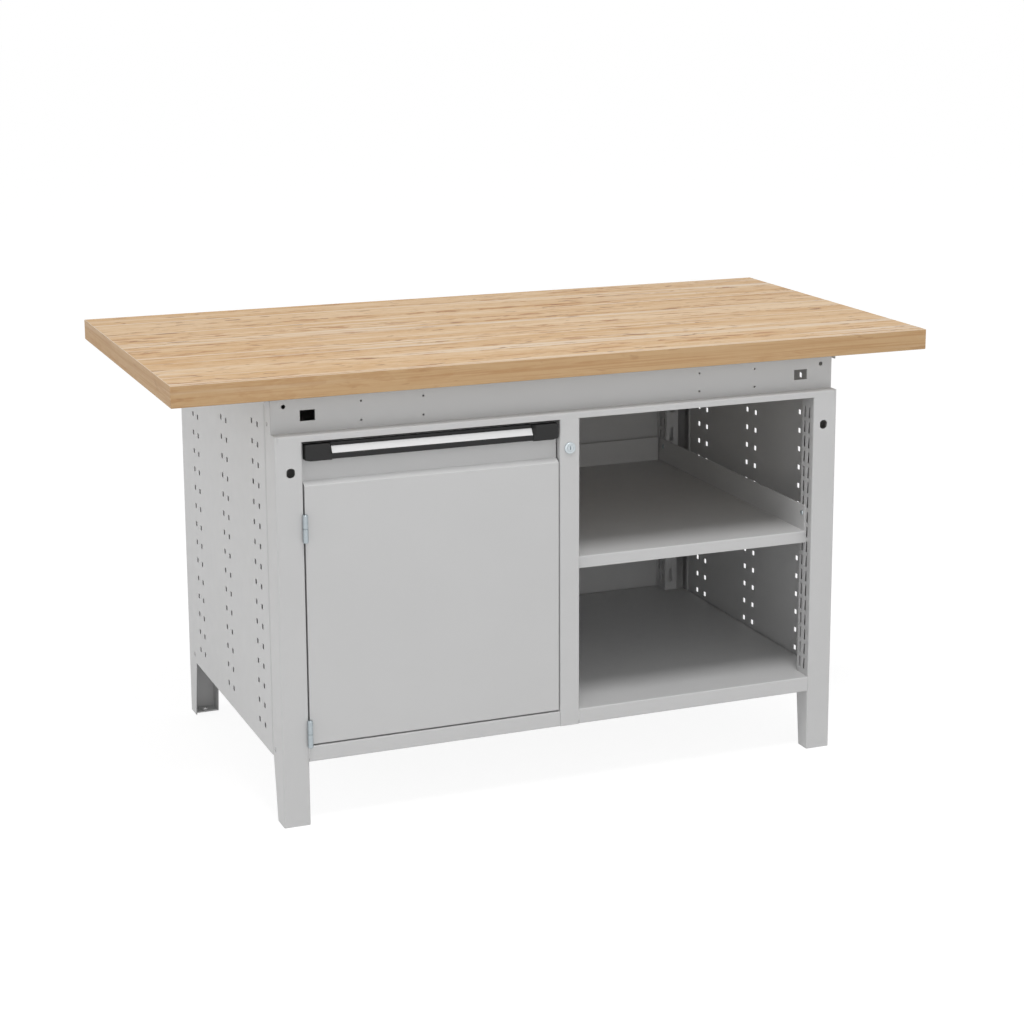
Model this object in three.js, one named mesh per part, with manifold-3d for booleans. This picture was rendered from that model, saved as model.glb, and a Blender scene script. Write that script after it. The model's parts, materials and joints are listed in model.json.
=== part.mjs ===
// Workbench: a laminated wood top on a folded sheet-steel frame, with a lockable cupboard on the left
// and an open shelf bay on the right. Millimetres, +Z up, +X to the right along the bench, +Y to the back.
// The origin is on the floor under the middle of the worktop.
import * as THREE from "three";
import { mergeVertices } from "three/addons/utils/BufferGeometryUtils.js";
import Module from "manifold-3d";

const wasm = await Module();
wasm.setup();

// Worktop
const topLength = 1500;
const topDepth = 750;
const topThickness = 40;
const topEase = 1.5;
const benchHeight = 840;

// Frame
const sideOverhang = 186;
const frontOverhang = 18;
const footHeight = 121;
const frameSheet = 2;
const frameFold = 3;
const panelSheet = 1.5;
const panelFold = 2.5;
const seatGap = 0.3;

// Posts
const postWidth = 50;
const postOuterDepth = 62;
const postInnerDepth = 48;
const postLip = 28;
const collarReturn = 5;
const footOuterDepth = 42;
const footInnerDepth = 33;
const footPlate = 3;
const footPlateDepth = 30;
const footBoltRadius = 5.5;
const slotWidth = 6;
const slotLength = 22;
const slotPitch = 30;
const slotFirst = 23;
const slotMargin = 20;
const slotColumns = [18, 35.5];
const keyholeRadius = 6;
const keyholeNeck = 7;
const keyholeLength = 26;
const keyholePitch = 65;
const keyholeInset = 13;
const spareLockInset = 28;
const spareLockHeight = 18;
const spareLockWidth = 15.5;
const lapSlotWidth = 5;
const lapSlotLength = 10;
const lapSlotInset = 49;
const lapSlotRise = 14;

// Upper rails and worktop supports
const railHeight = 82;
const railLip = 12;
const railSetback = 24;
const railFlange = 30;
const railRoundRadius = 4.25;
const railRoundInset = 24;
const railRoundDrop = 21;
const railWindowWidth = 28;
const railWindowHeight = 20;
const railWindowInset = 54;
const railWindowDrop = 29.5;
const railScrewRadius = 2.25;
const railScrewPlaces = [278, 396];
const railScrewDrops = [21, 56];
const supportInside = 24;
const supportOutside = 10;
const supportDrop = 14;

// Side panels
const panelTopGap = 3;
const panelSeam = 1;
const panelLap = 22;
const holeSize = 10;
const holePitch = 38;
const holeFirst = 42;
const holeTopMargin = 55;
const holePairPitch = 228;
const holePairs = 3;

// Centre posts and divider
const centreWidth = 40;
const centreLip = 10;
const dividerFlange = 18;

// Shelves and back panels
const shelfLip = 30;
const shelfReturn = 15;
const shelfBackInset = 7;
const shelfSideGap = 1;
const backFlange = 5;
const trayLip = 23;
const trayUpstand = 52;
const trayBackInset = 12;
const trayFrontInset = 23;
const trayRowCount = 10;
const trayCorner = 4;
const trayBoltAboveDeck = 35;
const trayBoltAboveRow = 6;
const boltRadius = 2.3;
const boltHole = 2.8;
const boltHeadRadius = 5;
const boltHeadHeight = 2.5;
const boltHeadChamfer = 1;
const boltLength = 14;

// Door
const doorGap = 2.5;
const doorTopGap = 6;
const doorDepth = 24;
const bandSetback = 14;
const joggleTop = 73.5;
const joggleHeight = 7;
const cupboardShelfGap = 2;
const stopHeight = 30;
const stopLeg = 20;
const stopPlaces = [60, 430];

// Grip on the door
const gripHeight = 29;
const gripTopDepth = 6;
const gripNose = 3.5;
const gripWall = 2.5;
const gripTopBand = 6.5;
const gripNoseHeight = 9;
const gripSlopeDepth = 9;
const gripSlopeStep = 1;
const gripEndLength = 50;
const gripEndGap = 2;
const gripEndProud = 1.2;
const gripEndChamfer = 6;
const labelThickness = 1;
const labelMargin = 0.6;
const labelGap = 0.2;

// Hinges
const knuckleRadius = 5;
const knuckleLength = 26;
const knuckleSpacing = 0.4;
const knuckleDome = 2;
const hingePinRadius = 3;
const hingePinLength = 40;
const runningGap = 0.3;
const hingeLeaf = 1.5;
const hingeLeafDepth = 19;
const hingeLeafInset = 3;
const hingePlaces = [25, 409.5];

// Lock
const lockDrop = 55;
const lockHeadRadius = 11;
const lockHeadHeight = 3;
const lockHeadChamfer = 1;
const lockShankRadius = 8.5;
const lockHoleGap = 0.7;
const lockLength = 16;
const lockNutRadius = 13.8;
const lockNutHeight = 5;
const plugRadius = 6;
const plugProud = 0.4;
const plugTailRadius = 4;
const plugTailLength = 7.5;
const keySlotWidth = 1.8;
const keySlotHeight = 7;
const keySlotDepth = 4;
const camThickness = 2.5;
const camHubRadius = 9;
const camWidth = 12;
const camReach = 32;
const camNutRadius = 7.5;
const camNutHeight = 4;
const camSlotClearance = 1;

// Facets of a fold, of a round piece and of a small hole, spare length of a cut, and how close points join
const foldSteps = 3;
const easeSteps = 2;
const roundFacets = 12;
const boltFacets = 8;
const holeFacets = 8;
const hexFacets = 6;
const cutSpare = 10;
const weldDistance = 1e-4;

// Places worked out from the sizes above
const frameHalfWidth = topLength / 2 - sideOverhang;
const frameHalfDepth = topDepth / 2 - frontOverhang;
const frontY = -frameHalfDepth;
const topUnderside = benchHeight - topThickness;
const postTop = topUnderside - railHeight;
const postInnerX = frameHalfWidth - postWidth;
const postLipY = frontY + postInnerDepth;
const postSeamY = frontY + postOuterDepth;
const centreHalf = centreWidth / 2;
const railWebY = frontY + railSetback;
const shelfTop = footHeight + shelfLip;
const slotFirstZ = shelfTop + slotFirst;
const trayDeck = slotFirstZ + trayRowCount * slotPitch + trayBoltAboveRow - trayBoltAboveDeck;
const trayBoltZ = trayDeck + trayBoltAboveDeck;
const doorLeftX = -postInnerX + doorGap;
const doorRightX = -centreHalf - doorGap;
const doorBottomZ = shelfTop + doorGap;
const doorTopZ = postTop - doorTopGap;
const doorBackY = frontY + doorDepth;
const bandY = frontY + bandSetback;
const gripLeftX = doorLeftX + gripEndGap;
const gripRightX = doorRightX - gripEndGap;
const gripTopZ = doorTopZ;
const gripBottomZ = gripTopZ - gripHeight;
const slopeTop = [bandY - gripTopDepth - gripSlopeStep, gripTopZ - gripTopBand];
const slopeBottom = [slopeTop[0] - gripSlopeDepth, gripBottomZ + gripNoseHeight + gripSlopeStep];
const noseY = frontY - gripNose;
const hingeX = -postInnerX + doorGap / 2;
const hingeY = frontY - knuckleRadius - runningGap;
const lockZ = postTop - lockDrop;
const camFrontY = frontY + lockLength + 2 * seatGap;

const unitX = new THREE.Vector3(1, 0, 0);
const unitY = new THREE.Vector3(0, 1, 0);
const unitZ = new THREE.Vector3(0, 0, 1);
// A section is drawn in the two axes that follow its own in the order x, y, z, x, y.
const standing = {
  x: new THREE.Matrix4().makeBasis(unitY, unitZ, unitX),
  y: new THREE.Matrix4().makeBasis(unitZ, unitX, unitY),
  z: new THREE.Matrix4(),
};

// A closed geometry as a solid that can be joined and cut.
function solidOf(geometry) {
  const bare = geometry.index ? geometry.toNonIndexed() : geometry.clone();
  bare.deleteAttribute("normal");
  bare.deleteAttribute("uv");
  const merged = mergeVertices(bare, weldDistance);
  const corners = merged.index.array;
  const kept = [];
  for (let i = 0; i < corners.length; i += 3) {
    const [a, b, c] = [corners[i], corners[i + 1], corners[i + 2]];
    if (a !== b && b !== c && c !== a) {
      kept.push(a, b, c);
    }
  }
  return new wasm.Manifold(
    new wasm.Mesh({
      numProp: 3,
      vertProperties: merged.attributes.position.array,
      triVerts: new Uint32Array(kept),
    }),
  );
}

function geometryOf(solid) {
  const mesh = solid.getMesh();
  const geometry = new THREE.BufferGeometry();
  geometry.setAttribute("position", new THREE.BufferAttribute(mesh.vertProperties, 3));
  geometry.setIndex(new THREE.BufferAttribute(mesh.triVerts, 1));
  geometry.computeVertexNormals();
  return geometry;
}

function shapeOf(points) {
  return new THREE.Shape(points.map((point) => new THREE.Vector2(point[0], point[1])));
}

// A section drawn out along one axis.
function prism(axis, points, from, to) {
  const geometry = new THREE.ExtrudeGeometry(shapeOf(points), { depth: to - from, bevelEnabled: false });
  geometry.translate(0, 0, from);
  geometry.applyMatrix4(standing[axis]);
  return solidOf(geometry);
}

function block(low, high) {
  const size = high.map((value, index) => value - low[index]);
  const geometry = new THREE.BoxGeometry(...size);
  geometry.translate(...low.map((value, index) => value + size[index] / 2));
  return solidOf(geometry);
}

// A round or hexagonal bar along one axis, centred at two coordinates in the order of a section.
function bar(axis, centre, radius, from, to, facets) {
  const points = [];
  for (let step = 0; step < facets; step += 1) {
    const angle = (2 * Math.PI * (step + 0.5)) / facets;
    points.push([centre[0] + radius * Math.cos(angle), centre[1] + radius * Math.sin(angle)]);
  }
  return prism(axis, points, from, to);
}

function joined(solids) {
  return solids.reduce((whole, piece) => whole.add(piece));
}

// The two faces of a folded sheet. The path is one face, the sheet lies on its left, and each fold is an arc.
function foldedFaces(path, thickness, foldRadius) {
  const face = [];
  const back = [];
  const points = path.map((point) => new THREE.Vector2(...point));
  points.forEach((here, index) => {
    const before = points[index - 1];
    const after = points[index + 1];
    const arriving = before ? here.clone().sub(before).normalize() : after.clone().sub(here).normalize();
    const left = new THREE.Vector2(-arriving.y, arriving.x);
    if (!before || !after) {
      face.push([here.x, here.y]);
      back.push([here.x + left.x * thickness, here.y + left.y * thickness]);
      return;
    }
    const leaving = after.clone().sub(here).normalize();
    const turn = Math.sign(arriving.cross(leaving));
    const angle = Math.acos(arriving.dot(leaving));
    const faceRadius = turn > 0 ? foldRadius : foldRadius - thickness;
    const backRadius = turn > 0 ? foldRadius - thickness : foldRadius;
    const inward = left.multiplyScalar(turn);
    const start = here.clone().addScaledVector(arriving, -faceRadius * Math.tan(angle / 2));
    const centre = start.clone().addScaledVector(inward, faceRadius);
    for (let step = 0; step <= foldSteps; step += 1) {
      const spoke = inward.clone().negate();
      spoke.rotateAround(new THREE.Vector2(), (turn * angle * step) / foldSteps);
      face.push([centre.x + spoke.x * faceRadius, centre.y + spoke.y * faceRadius]);
      back.push([centre.x + spoke.x * backRadius, centre.y + spoke.y * backRadius]);
    }
  });
  return { face, back };
}

function foldedSection(path, thickness, foldRadius) {
  const { face, back } = foldedFaces(path, thickness, foldRadius);
  return [...face, ...back.reverse()];
}

// A turned piece about an upright axis, from radius and height pairs.
function turned(profile, facets) {
  const points = profile.map((point) => new THREE.Vector2(point[0], point[1]));
  return new THREE.LatheGeometry(points, facets);
}

function slotHeights() {
  const heights = [];
  for (let z = slotFirstZ; z + slotLength / 2 + slotMargin <= postTop; z += slotPitch) {
    heights.push(z);
  }
  return heights;
}

// Slots through a flange that stands across X, for the bolts of the adjustable shelves.
function shelfSlots(flangeX, columns, heights) {
  const slots = [];
  for (const column of columns) {
    const y = frontY + column;
    for (const z of heights) {
      const low = [flangeX - cutSpare, y - slotWidth / 2, z - slotLength / 2];
      const high = [flangeX + cutSpare, y + slotWidth / 2, z + slotLength / 2];
      slots.push(block(low, high));
    }
  }
  return joined(slots);
}

// The wedge that narrows a flange towards the floor.
function footWedge(lowX, highX, depthAtFloor, depthAtTop) {
  const slope = (depthAtTop - depthAtFloor) / footHeight;
  const backY = frontY + postOuterDepth + cutSpare;
  const outline = [
    [frontY + depthAtFloor - slope * cutSpare, -cutSpare],
    [backY, -cutSpare],
    [backY, footHeight],
    [frontY + depthAtTop, footHeight],
  ];
  return prism("x", outline, lowX, highX);
}

function keyhole(x, z) {
  const from = postLipY - cutSpare;
  const to = postLipY + cutSpare;
  const neck = block([x - keyholeNeck / 2, from, z], [x + keyholeNeck / 2, to, z + keyholeLength]);
  return bar("y", [z, x], keyholeRadius, from, to, hexFacets).add(neck);
}

// Front left post: one sheet folded to a C with a return lip, slotted, its foot tapered. Its outer
// flange runs on past the top, as a collar round the end of the rail's lip and as a tongue behind the web.
// The front ones have a spare hole for a lock, and the rear ones have keyholes in the lip.
function post(isFront) {
  const outerX = -frameHalfWidth;
  const innerX = -postInnerX;
  const path = [
    [outerX, postSeamY],
    [outerX, frontY],
    [innerX, frontY],
    [innerX, postLipY],
    [innerX - postLip, postLipY],
  ];
  const body = prism("z", foldedSection(path, frameSheet, frameFold), 0, postTop);
  const collarPath = [
    [outerX, postSeamY],
    [outerX, frontY],
    [outerX + collarReturn, frontY],
  ];
  const collarSection = foldedSection(collarPath, frameSheet, frameFold);
  const collar = prism("z", collarSection, postTop - slotMargin, postTop + railLip);
  const tongueFoot = [outerX, railWebY + frameSheet + seatGap, postTop - slotMargin];
  const tongueHead = [outerX + frameSheet, postSeamY, topUnderside - frameSheet];
  const splitX = outerX + (postWidth - postLip) / 2;
  const cuts = [
    footWedge(outerX - cutSpare, splitX, footOuterDepth, postOuterDepth),
    footWedge(splitX, innerX + cutSpare, footInnerDepth, postInnerDepth - frameSheet),
    shelfSlots(innerX, slotColumns, slotHeights()),
  ];
  for (const z of [footHeight + lapSlotRise, postTop + railLip + lapSlotRise]) {
    const y = frontY + lapSlotInset;
    const low = [outerX - cutSpare, y - lapSlotWidth / 2, z - lapSlotLength / 2];
    const high = [outerX + cutSpare, y + lapSlotWidth / 2, z + lapSlotLength / 2];
    cuts.push(block(low, high));
  }
  if (isFront) {
    const x = outerX + spareLockInset;
    const from = frontY - cutSpare;
    const to = frontY + cutSpare;
    const flats = block(
      [x - spareLockWidth / 2, from, lockZ - spareLockHeight],
      [x + spareLockWidth / 2, to, lockZ + spareLockHeight],
    );
    cuts.push(bar("y", [lockZ, x], spareLockHeight / 2, from, to, roundFacets).intersect(flats));
  } else {
    for (let z = slotFirstZ; z + keyholeLength + slotMargin <= postTop; z += keyholePitch) {
      cuts.push(keyhole(innerX - keyholeInset, z));
    }
  }
  return joined([body, collar, block(tongueFoot, tongueHead)]).subtract(joined(cuts));
}

// Plate that closes the bottom of a post, with a hole for a floor bolt.
function postFootPlate() {
  const lowX = -frameHalfWidth + frameSheet + seatGap;
  const highX = -postInnerX - frameSheet - seatGap;
  const lowY = frontY + frameSheet + seatGap;
  const highY = lowY + footPlateDepth;
  const corner = frameFold;
  const outline = [
    [lowX + corner, lowY],
    [highX - corner, lowY],
    [highX, lowY + corner],
    [highX, highY],
    [lowX, highY],
    [lowX, lowY + corner],
  ];
  const centre = [(lowX + highX) / 2, (lowY + highY) / 2];
  const hole = bar("z", centre, footBoltRadius, -cutSpare, footPlate + cutSpare, roundFacets);
  return prism("z", outline, 0, footPlate).subtract(hole);
}

// Left side panel, flush between the posts, its edges stepped in to lap behind their flanges.
function sidePanel() {
  const outerX = -frameHalfWidth;
  const lapX = outerX + frameSheet;
  const seam = -postSeamY - panelSeam;
  const step = frameSheet;
  const path = [
    [lapX, seam + panelLap],
    [lapX, seam],
    [outerX, seam - step],
    [outerX, -seam + step],
    [lapX, -seam],
    [lapX, -seam - panelLap],
  ];
  const top = topUnderside - panelTopGap;
  const sheet = prism("z", foldedSection(path, panelSheet, panelFold), footHeight, top);
  const holes = [];
  for (let pair = 0; pair < holePairs; pair += 1) {
    const middle = (pair - (holePairs - 1) / 2) * holePairPitch;
    for (const y of [middle - holePitch / 2, middle + holePitch / 2]) {
      for (let z = footHeight + holeFirst; z + holeTopMargin <= top; z += holePitch) {
        const low = [outerX - cutSpare, y - holeSize / 2, z - holeSize / 2];
        const high = [outerX + cutSpare, y + holeSize / 2, z + holeSize / 2];
        holes.push(block(low, high));
      }
    }
  }
  return sheet.subtract(joined(holes));
}

// What is cut from one end of the rail, so that the collar of a post fits round it.
function railEnd(side, fromX, toY, toZ) {
  const endX = frameHalfWidth + cutSpare;
  const low = [Math.min(side * fromX, side * endX), frontY - cutSpare, postTop - cutSpare];
  return block(low, [Math.max(side * fromX, side * endX), toY, toZ]);
}

// Front upper rail: lip flush with the posts, ledge, set-back web and the flange under the worktop.
function upperRail() {
  const path = [
    [railWebY + railFlange, topUnderside],
    [railWebY, topUnderside],
    [railWebY, postTop + railLip],
    [frontY, postTop + railLip],
    [frontY, postTop],
  ];
  const section = foldedSection(path, frameSheet, frameFold);
  const rail = prism("x", section, -frameHalfWidth, frameHalfWidth);
  const from = railWebY - cutSpare;
  const to = railWebY + cutSpare;
  const cuts = [];
  for (const side of [-1, 1]) {
    const roundX = side * (frameHalfWidth - railRoundInset);
    const roundZ = topUnderside - railRoundDrop;
    cuts.push(bar("y", [roundZ, roundX], railRoundRadius, from, to, holeFacets));
    const windowX = side * (frameHalfWidth - railWindowInset - railWindowWidth / 2);
    const windowTop = topUnderside - railWindowDrop;
    const windowLow = [windowX - railWindowWidth / 2, from, windowTop - railWindowHeight];
    cuts.push(block(windowLow, [windowX + railWindowWidth / 2, to, windowTop]));
    for (const place of railScrewPlaces) {
      for (const drop of railScrewDrops) {
        const centre = [topUnderside - drop, side * place];
        cuts.push(bar("y", centre, railScrewRadius, from, to, hexFacets));
      }
    }
    const lipX = frameHalfWidth - collarReturn - seatGap;
    const ledgeX = frameHalfWidth - frameSheet - seatGap;
    const endTop = postTop + railLip + seatGap;
    cuts.push(railEnd(side, lipX, frontY + frameFold + seatGap, endTop));
    cuts.push(railEnd(side, ledgeX, railWebY + frameFold, endTop));
    const supportX = frameHalfWidth - supportInside - seatGap;
    const notchFrom = Math.min(side * supportX, side * (frameHalfWidth + cutSpare));
    const notchTo = Math.max(side * supportX, side * (frameHalfWidth + cutSpare));
    const notchLow = [notchFrom, railWebY + frameSheet, topUnderside - frameFold - frameSheet];
    const notchHigh = [notchTo, railWebY + railFlange + cutSpare, topUnderside + cutSpare];
    cuts.push(block(notchLow, notchHigh));
  }
  return rail.subtract(joined(cuts));
}

// Right worktop support: a shallow channel over the side panel, its outer leg standing proud of it.
function worktopSupport() {
  const innerX = frameHalfWidth - supportInside;
  const outerX = frameHalfWidth + supportOutside;
  const path = [
    [topUnderside - supportDrop, innerX],
    [topUnderside, innerX],
    [topUnderside, outerX],
    [topUnderside - supportDrop, outerX],
  ];
  const halfLength = -railWebY - frameSheet - seatGap;
  return prism("y", foldedSection(path, frameSheet, frameFold), -halfLength, halfLength);
}

// Front centre post. The one at the back has no lock and keeps all its slots.
function centrePost(hasLock) {
  const path = [
    [-centreHalf + centreLip, postLipY],
    [-centreHalf, postLipY],
    [-centreHalf, frontY],
    [centreHalf, frontY],
    [centreHalf, postLipY],
    [centreHalf - centreLip, postLipY],
  ];
  const body = prism("z", foldedSection(path, frameSheet, frameFold), footHeight, postTop);
  const reach = camReach + slotLength / 2;
  const heights = slotHeights();
  const leftHeights = hasLock ? heights.filter((z) => Math.abs(z - lockZ) > reach) : heights;
  const columns = slotColumns.slice(1);
  const cuts = [shelfSlots(-centreHalf, columns, leftHeights), shelfSlots(centreHalf, columns, heights)];
  if (hasLock) {
    const holeRadius = lockShankRadius + lockHoleGap;
    cuts.push(bar("y", [lockZ, 0], holeRadius, frontY - cutSpare, frontY + cutSpare, roundFacets));
    cuts.push(camSlot());
  }
  return body.subtract(joined(cuts));
}

// The slot that the cam sweeps through, in the post's flange and in the edge of the door.
function camSlot() {
  const half = camWidth / 2 + camSlotClearance;
  const sweep = Math.hypot(camReach, camWidth / 2);
  const lowest = Math.sqrt(sweep ** 2 - (centreHalf - frameSheet) ** 2) + camSlotClearance;
  const low = [doorRightX - panelSheet - seatGap, camFrontY - camSlotClearance, lockZ - lowest];
  const high = [-centreHalf + frameFold, camFrontY + camThickness + camSlotClearance, lockZ + half];
  return block(low, high);
}

// Divider between the cupboard and the open bay, standing on the bottom shelves.
function divider() {
  const half = panelSheet / 2;
  const path = [
    [dividerFlange, -postLipY],
    [-half, -postLipY],
    [-half, postLipY],
    [dividerFlange, postLipY],
  ];
  return prism("z", foldedSection(path, panelSheet, panelFold), shelfTop, topUnderside - panelTopGap);
}

// Right bottom shelf: folded down at the front, the back and the side panel, notched round the posts.
function bottomShelf() {
  const backY = frameHalfDepth - shelfBackInset;
  const bottomZ = shelfTop - shelfLip;
  const path = [
    [backY, bottomZ],
    [backY, shelfTop],
    [frontY, shelfTop],
    [frontY, bottomZ],
    [frontY + shelfReturn, bottomZ],
  ];
  const innerX = seatGap / 2;
  const outerX = frameHalfWidth - frameSheet - panelSheet - shelfSideGap;
  const sheet = prism("x", foldedSection(path, panelSheet, panelFold), innerX, outerX);
  const sideEnd = -postLipY - seatGap;
  const sideLip = block([outerX - panelSheet, -sideEnd, bottomZ], [outerX, sideEnd, shelfTop]);
  const notches = [];
  for (const side of [-1, 1]) {
    const nearY = side * sideEnd;
    const farY = side * (frameHalfDepth + cutSpare);
    const lowY = Math.min(nearY, farY);
    const highY = Math.max(nearY, farY);
    const lowZ = bottomZ - cutSpare;
    const highZ = shelfTop + cutSpare;
    notches.push(block([innerX - cutSpare, lowY, lowZ], [centreHalf, highY, highZ]));
    notches.push(block([postInnerX, lowY, lowZ], [outerX + cutSpare, highY, highZ]));
  }
  return sheet.add(sideLip).subtract(joined(notches));
}

// Right back panel: a shallow pan, open to the front, between the rear posts.
function backPanel() {
  const rimY = frameHalfDepth - panelSheet - backFlange;
  const rim = block([centreHalf, rimY, footHeight], [postInnerX, frameHalfDepth, postTop]);
  const hollowLow = [centreHalf + panelSheet, rimY - cutSpare, footHeight + panelSheet];
  const hollowHigh = [postInnerX - panelSheet, frameHalfDepth - panelSheet, postTop - panelSheet];
  return rim.subtract(block(hollowLow, hollowHigh));
}

// Tray shelf between two X places: front lip down, upstands at the back and the sides, bolt holes,
// and a square relief in each back corner where the upstands meet.
function trayShelf(lowX, highX, trayFrontY) {
  const backY = frameHalfDepth - trayBackInset;
  const path = [
    [backY - panelSheet, trayDeck + trayUpstand],
    [backY - panelSheet, trayDeck],
    [trayFrontY, trayDeck],
    [trayFrontY, trayDeck - trayLip],
  ];
  const deck = prism("x", foldedSection(path, panelSheet, panelFold), lowX, highX);
  const sideLow = trayDeck - panelSheet;
  const sideHigh = trayDeck + trayUpstand;
  const sideFront = trayFrontY + panelFold;
  const sideBack = backY - panelFold;
  const sides = [
    block([lowX, sideFront, sideLow], [lowX + panelSheet, sideBack, sideHigh]),
    block([highX - panelSheet, sideFront, sideLow], [highX, sideBack, sideHigh]),
  ];
  const cuts = trayBoltPlaces().map((y) =>
    bar("x", [y, trayBoltZ], boltHole, lowX - cutSpare, highX + cutSpare, holeFacets),
  );
  for (const x of [lowX, highX]) {
    const low = [x - trayCorner, backY - trayCorner, sideLow - cutSpare];
    const high = [x + trayCorner, backY + cutSpare, sideHigh + cutSpare];
    cuts.push(block(low, high));
  }
  return joined([deck, ...sides]).subtract(joined(cuts));
}

function trayBoltPlaces() {
  const y = frontY + slotColumns[1];
  return [y, -y];
}

// Bolt along +X whose head bears on the inner face of an upstand at x.
function trayBolt(x, y) {
  const profile = [
    [0, -boltHeadHeight],
    [boltHeadRadius - boltHeadChamfer, -boltHeadHeight],
    [boltHeadRadius, -boltHeadHeight / 2],
    [boltHeadRadius, 0],
    [boltRadius, 0],
    [boltRadius, boltLength],
    [0, boltLength],
  ];
  const geometry = turned(profile, boltFacets);
  geometry.rotateZ(-Math.PI / 2);
  geometry.translate(x, y, trayBoltZ);
  return solidOf(geometry);
}

// The door's outer face from its bottom return, up the front, over the step to the band and its top return.
function doorPath() {
  const joggleZ = postTop - joggleTop;
  return [
    [doorBackY, doorTopZ],
    [bandY, doorTopZ],
    [bandY, joggleZ],
    [frontY, joggleZ - joggleHeight],
    [frontY, doorBottomZ],
    [doorBackY, doorBottomZ],
  ];
}

// Door: a pan folded on all four sides, open to the back, with the slot for the cam in its free edge.
function doorPanel() {
  const { face, back } = foldedFaces(doorPath(), panelSheet, panelFold);
  const outside = prism("x", face, doorLeftX, doorRightX);
  const openBack = doorBackY + cutSpare;
  const inside = [
    [openBack, back[0][1]],
    ...back,
    [openBack, back[back.length - 1][1]],
  ];
  const hollow = prism("x", inside, doorLeftX + panelSheet, doorRightX - panelSheet);
  return outside.subtract(hollow).subtract(camSlot());
}

// Angle on the centre post that the free edge of the door closes against.
function doorStop(z) {
  const stopY = doorBackY + seatGap;
  const path = [
    [-centreHalf - stopLeg, stopY],
    [-centreHalf, stopY],
    [-centreHalf, stopY + stopLeg],
  ];
  return prism("z", foldedSection(path, panelSheet, panelFold), z, z + stopHeight);
}

// Grip: a hooked profile on the band, with a sloping seat for the label and a finger gap behind the nose.
function gripProfile() {
  const hookZ = gripBottomZ + gripNoseHeight - gripWall;
  const outline = [
    [bandY, gripTopZ],
    [bandY - gripTopDepth, gripTopZ],
    slopeTop,
    slopeBottom,
    [noseY, gripBottomZ + gripNoseHeight],
    [noseY, gripBottomZ + gripWall],
    [noseY + gripWall, gripBottomZ],
    [noseY + 2 * gripWall, gripBottomZ],
    [noseY + 2 * gripWall, hookZ],
    [slopeTop[0] + gripWall, slopeTop[1] - gripWall],
    [bandY, slopeTop[1] - gripWall],
  ];
  return prism("x", outline, gripLeftX + gripEndLength, gripRightX - gripEndLength);
}

// End cap of the grip on one side, a little proud of the profile, its lower outer corner cut off.
function gripEnd(side) {
  const lowX = side < 0 ? gripLeftX : gripRightX - gripEndLength;
  const capY = noseY - gripEndProud;
  const capZ = gripBottomZ - gripEndProud;
  const outline = [
    [bandY, gripTopZ],
    [bandY - gripTopDepth - labelGap, gripTopZ],
    [slopeTop[0] - labelThickness, slopeTop[1]],
    [capY, slopeBottom[1]],
    [capY, capZ + gripWall],
    [capY + gripWall, capZ],
    [bandY, capZ],
  ];
  const cap = prism("x", outline, lowX, lowX + gripEndLength);
  const cornerX = side < 0 ? gripLeftX : gripRightX;
  const corner = [
    [capZ - cutSpare, cornerX + side * cutSpare],
    [capZ - cutSpare, cornerX - side * (gripEndChamfer + cutSpare)],
    [capZ + gripEndChamfer + cutSpare, cornerX + side * cutSpare],
  ];
  return cap.subtract(prism("y", corner, capY - cutSpare, bandY + cutSpare));
}

// Label strip on the sloping seat, between the end caps.
function labelStrip() {
  const top = new THREE.Vector2(...slopeTop);
  const bottom = new THREE.Vector2(...slopeBottom);
  const along = bottom.clone().sub(top).normalize();
  const out = new THREE.Vector2(along.y, -along.x);
  const start = top.clone().addScaledVector(along, labelMargin).addScaledVector(out, labelGap);
  const end = bottom.clone().addScaledVector(along, -labelMargin).addScaledVector(out, labelGap);
  const outerEnd = end.clone().addScaledVector(out, labelThickness);
  const outerStart = start.clone().addScaledVector(out, labelThickness);
  const outline = [start, end, outerEnd, outerStart].map((point) => [point.x, point.y]);
  const lowX = gripLeftX + gripEndLength + labelGap;
  return prism("x", outline, lowX, gripRightX - gripEndLength - labelGap);
}

// Knuckle of a barrel hinge, blind at its domed end, with the leaf that is welded to its sheet.
// The frame's half opens upwards at jointZ and the door's half opens downwards.
function hingeKnuckle(jointZ, isDoor) {
  const boreRadius = hingePinRadius + runningGap;
  const boreDepth = hingePinLength / 2 + runningGap;
  const shoulder = knuckleLength - knuckleDome;
  const profile = [
    [0, boreDepth],
    [boreRadius, boreDepth],
    [boreRadius, 0],
    [knuckleRadius, 0],
    [knuckleRadius, shoulder],
    [knuckleRadius - knuckleDome, knuckleLength],
    [0, knuckleLength],
  ];
  const geometry = turned(profile, roundFacets);
  geometry.rotateX(isDoor ? Math.PI / 2 : -Math.PI / 2);
  const direction = isDoor ? 1 : -1;
  const faceZ = jointZ + (direction * knuckleSpacing) / 2;
  geometry.translate(hingeX, hingeY, faceZ);
  const leafX = isDoor ? doorLeftX - hingeLeaf : -postInnerX;
  const leafEnds = [faceZ + direction * hingeLeafInset, faceZ + direction * (knuckleLength - hingeLeafInset)];
  const low = [leafX, hingeY, Math.min(...leafEnds)];
  const high = [leafX + hingeLeaf, frontY + hingeLeafDepth, Math.max(...leafEnds)];
  const wallRadius = (boreRadius + knuckleRadius) / 2;
  const barrel = bar("z", [hingeX, hingeY], wallRadius, low[2] - cutSpare, high[2] + cutSpare, roundFacets);
  return solidOf(geometry).add(block(low, high).subtract(barrel));
}

function hingePin(jointZ) {
  const centre = [hingeX, hingeY];
  const half = hingePinLength / 2;
  return bar("z", centre, hingePinRadius, jointZ - half, jointZ + half, roundFacets);
}

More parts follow.
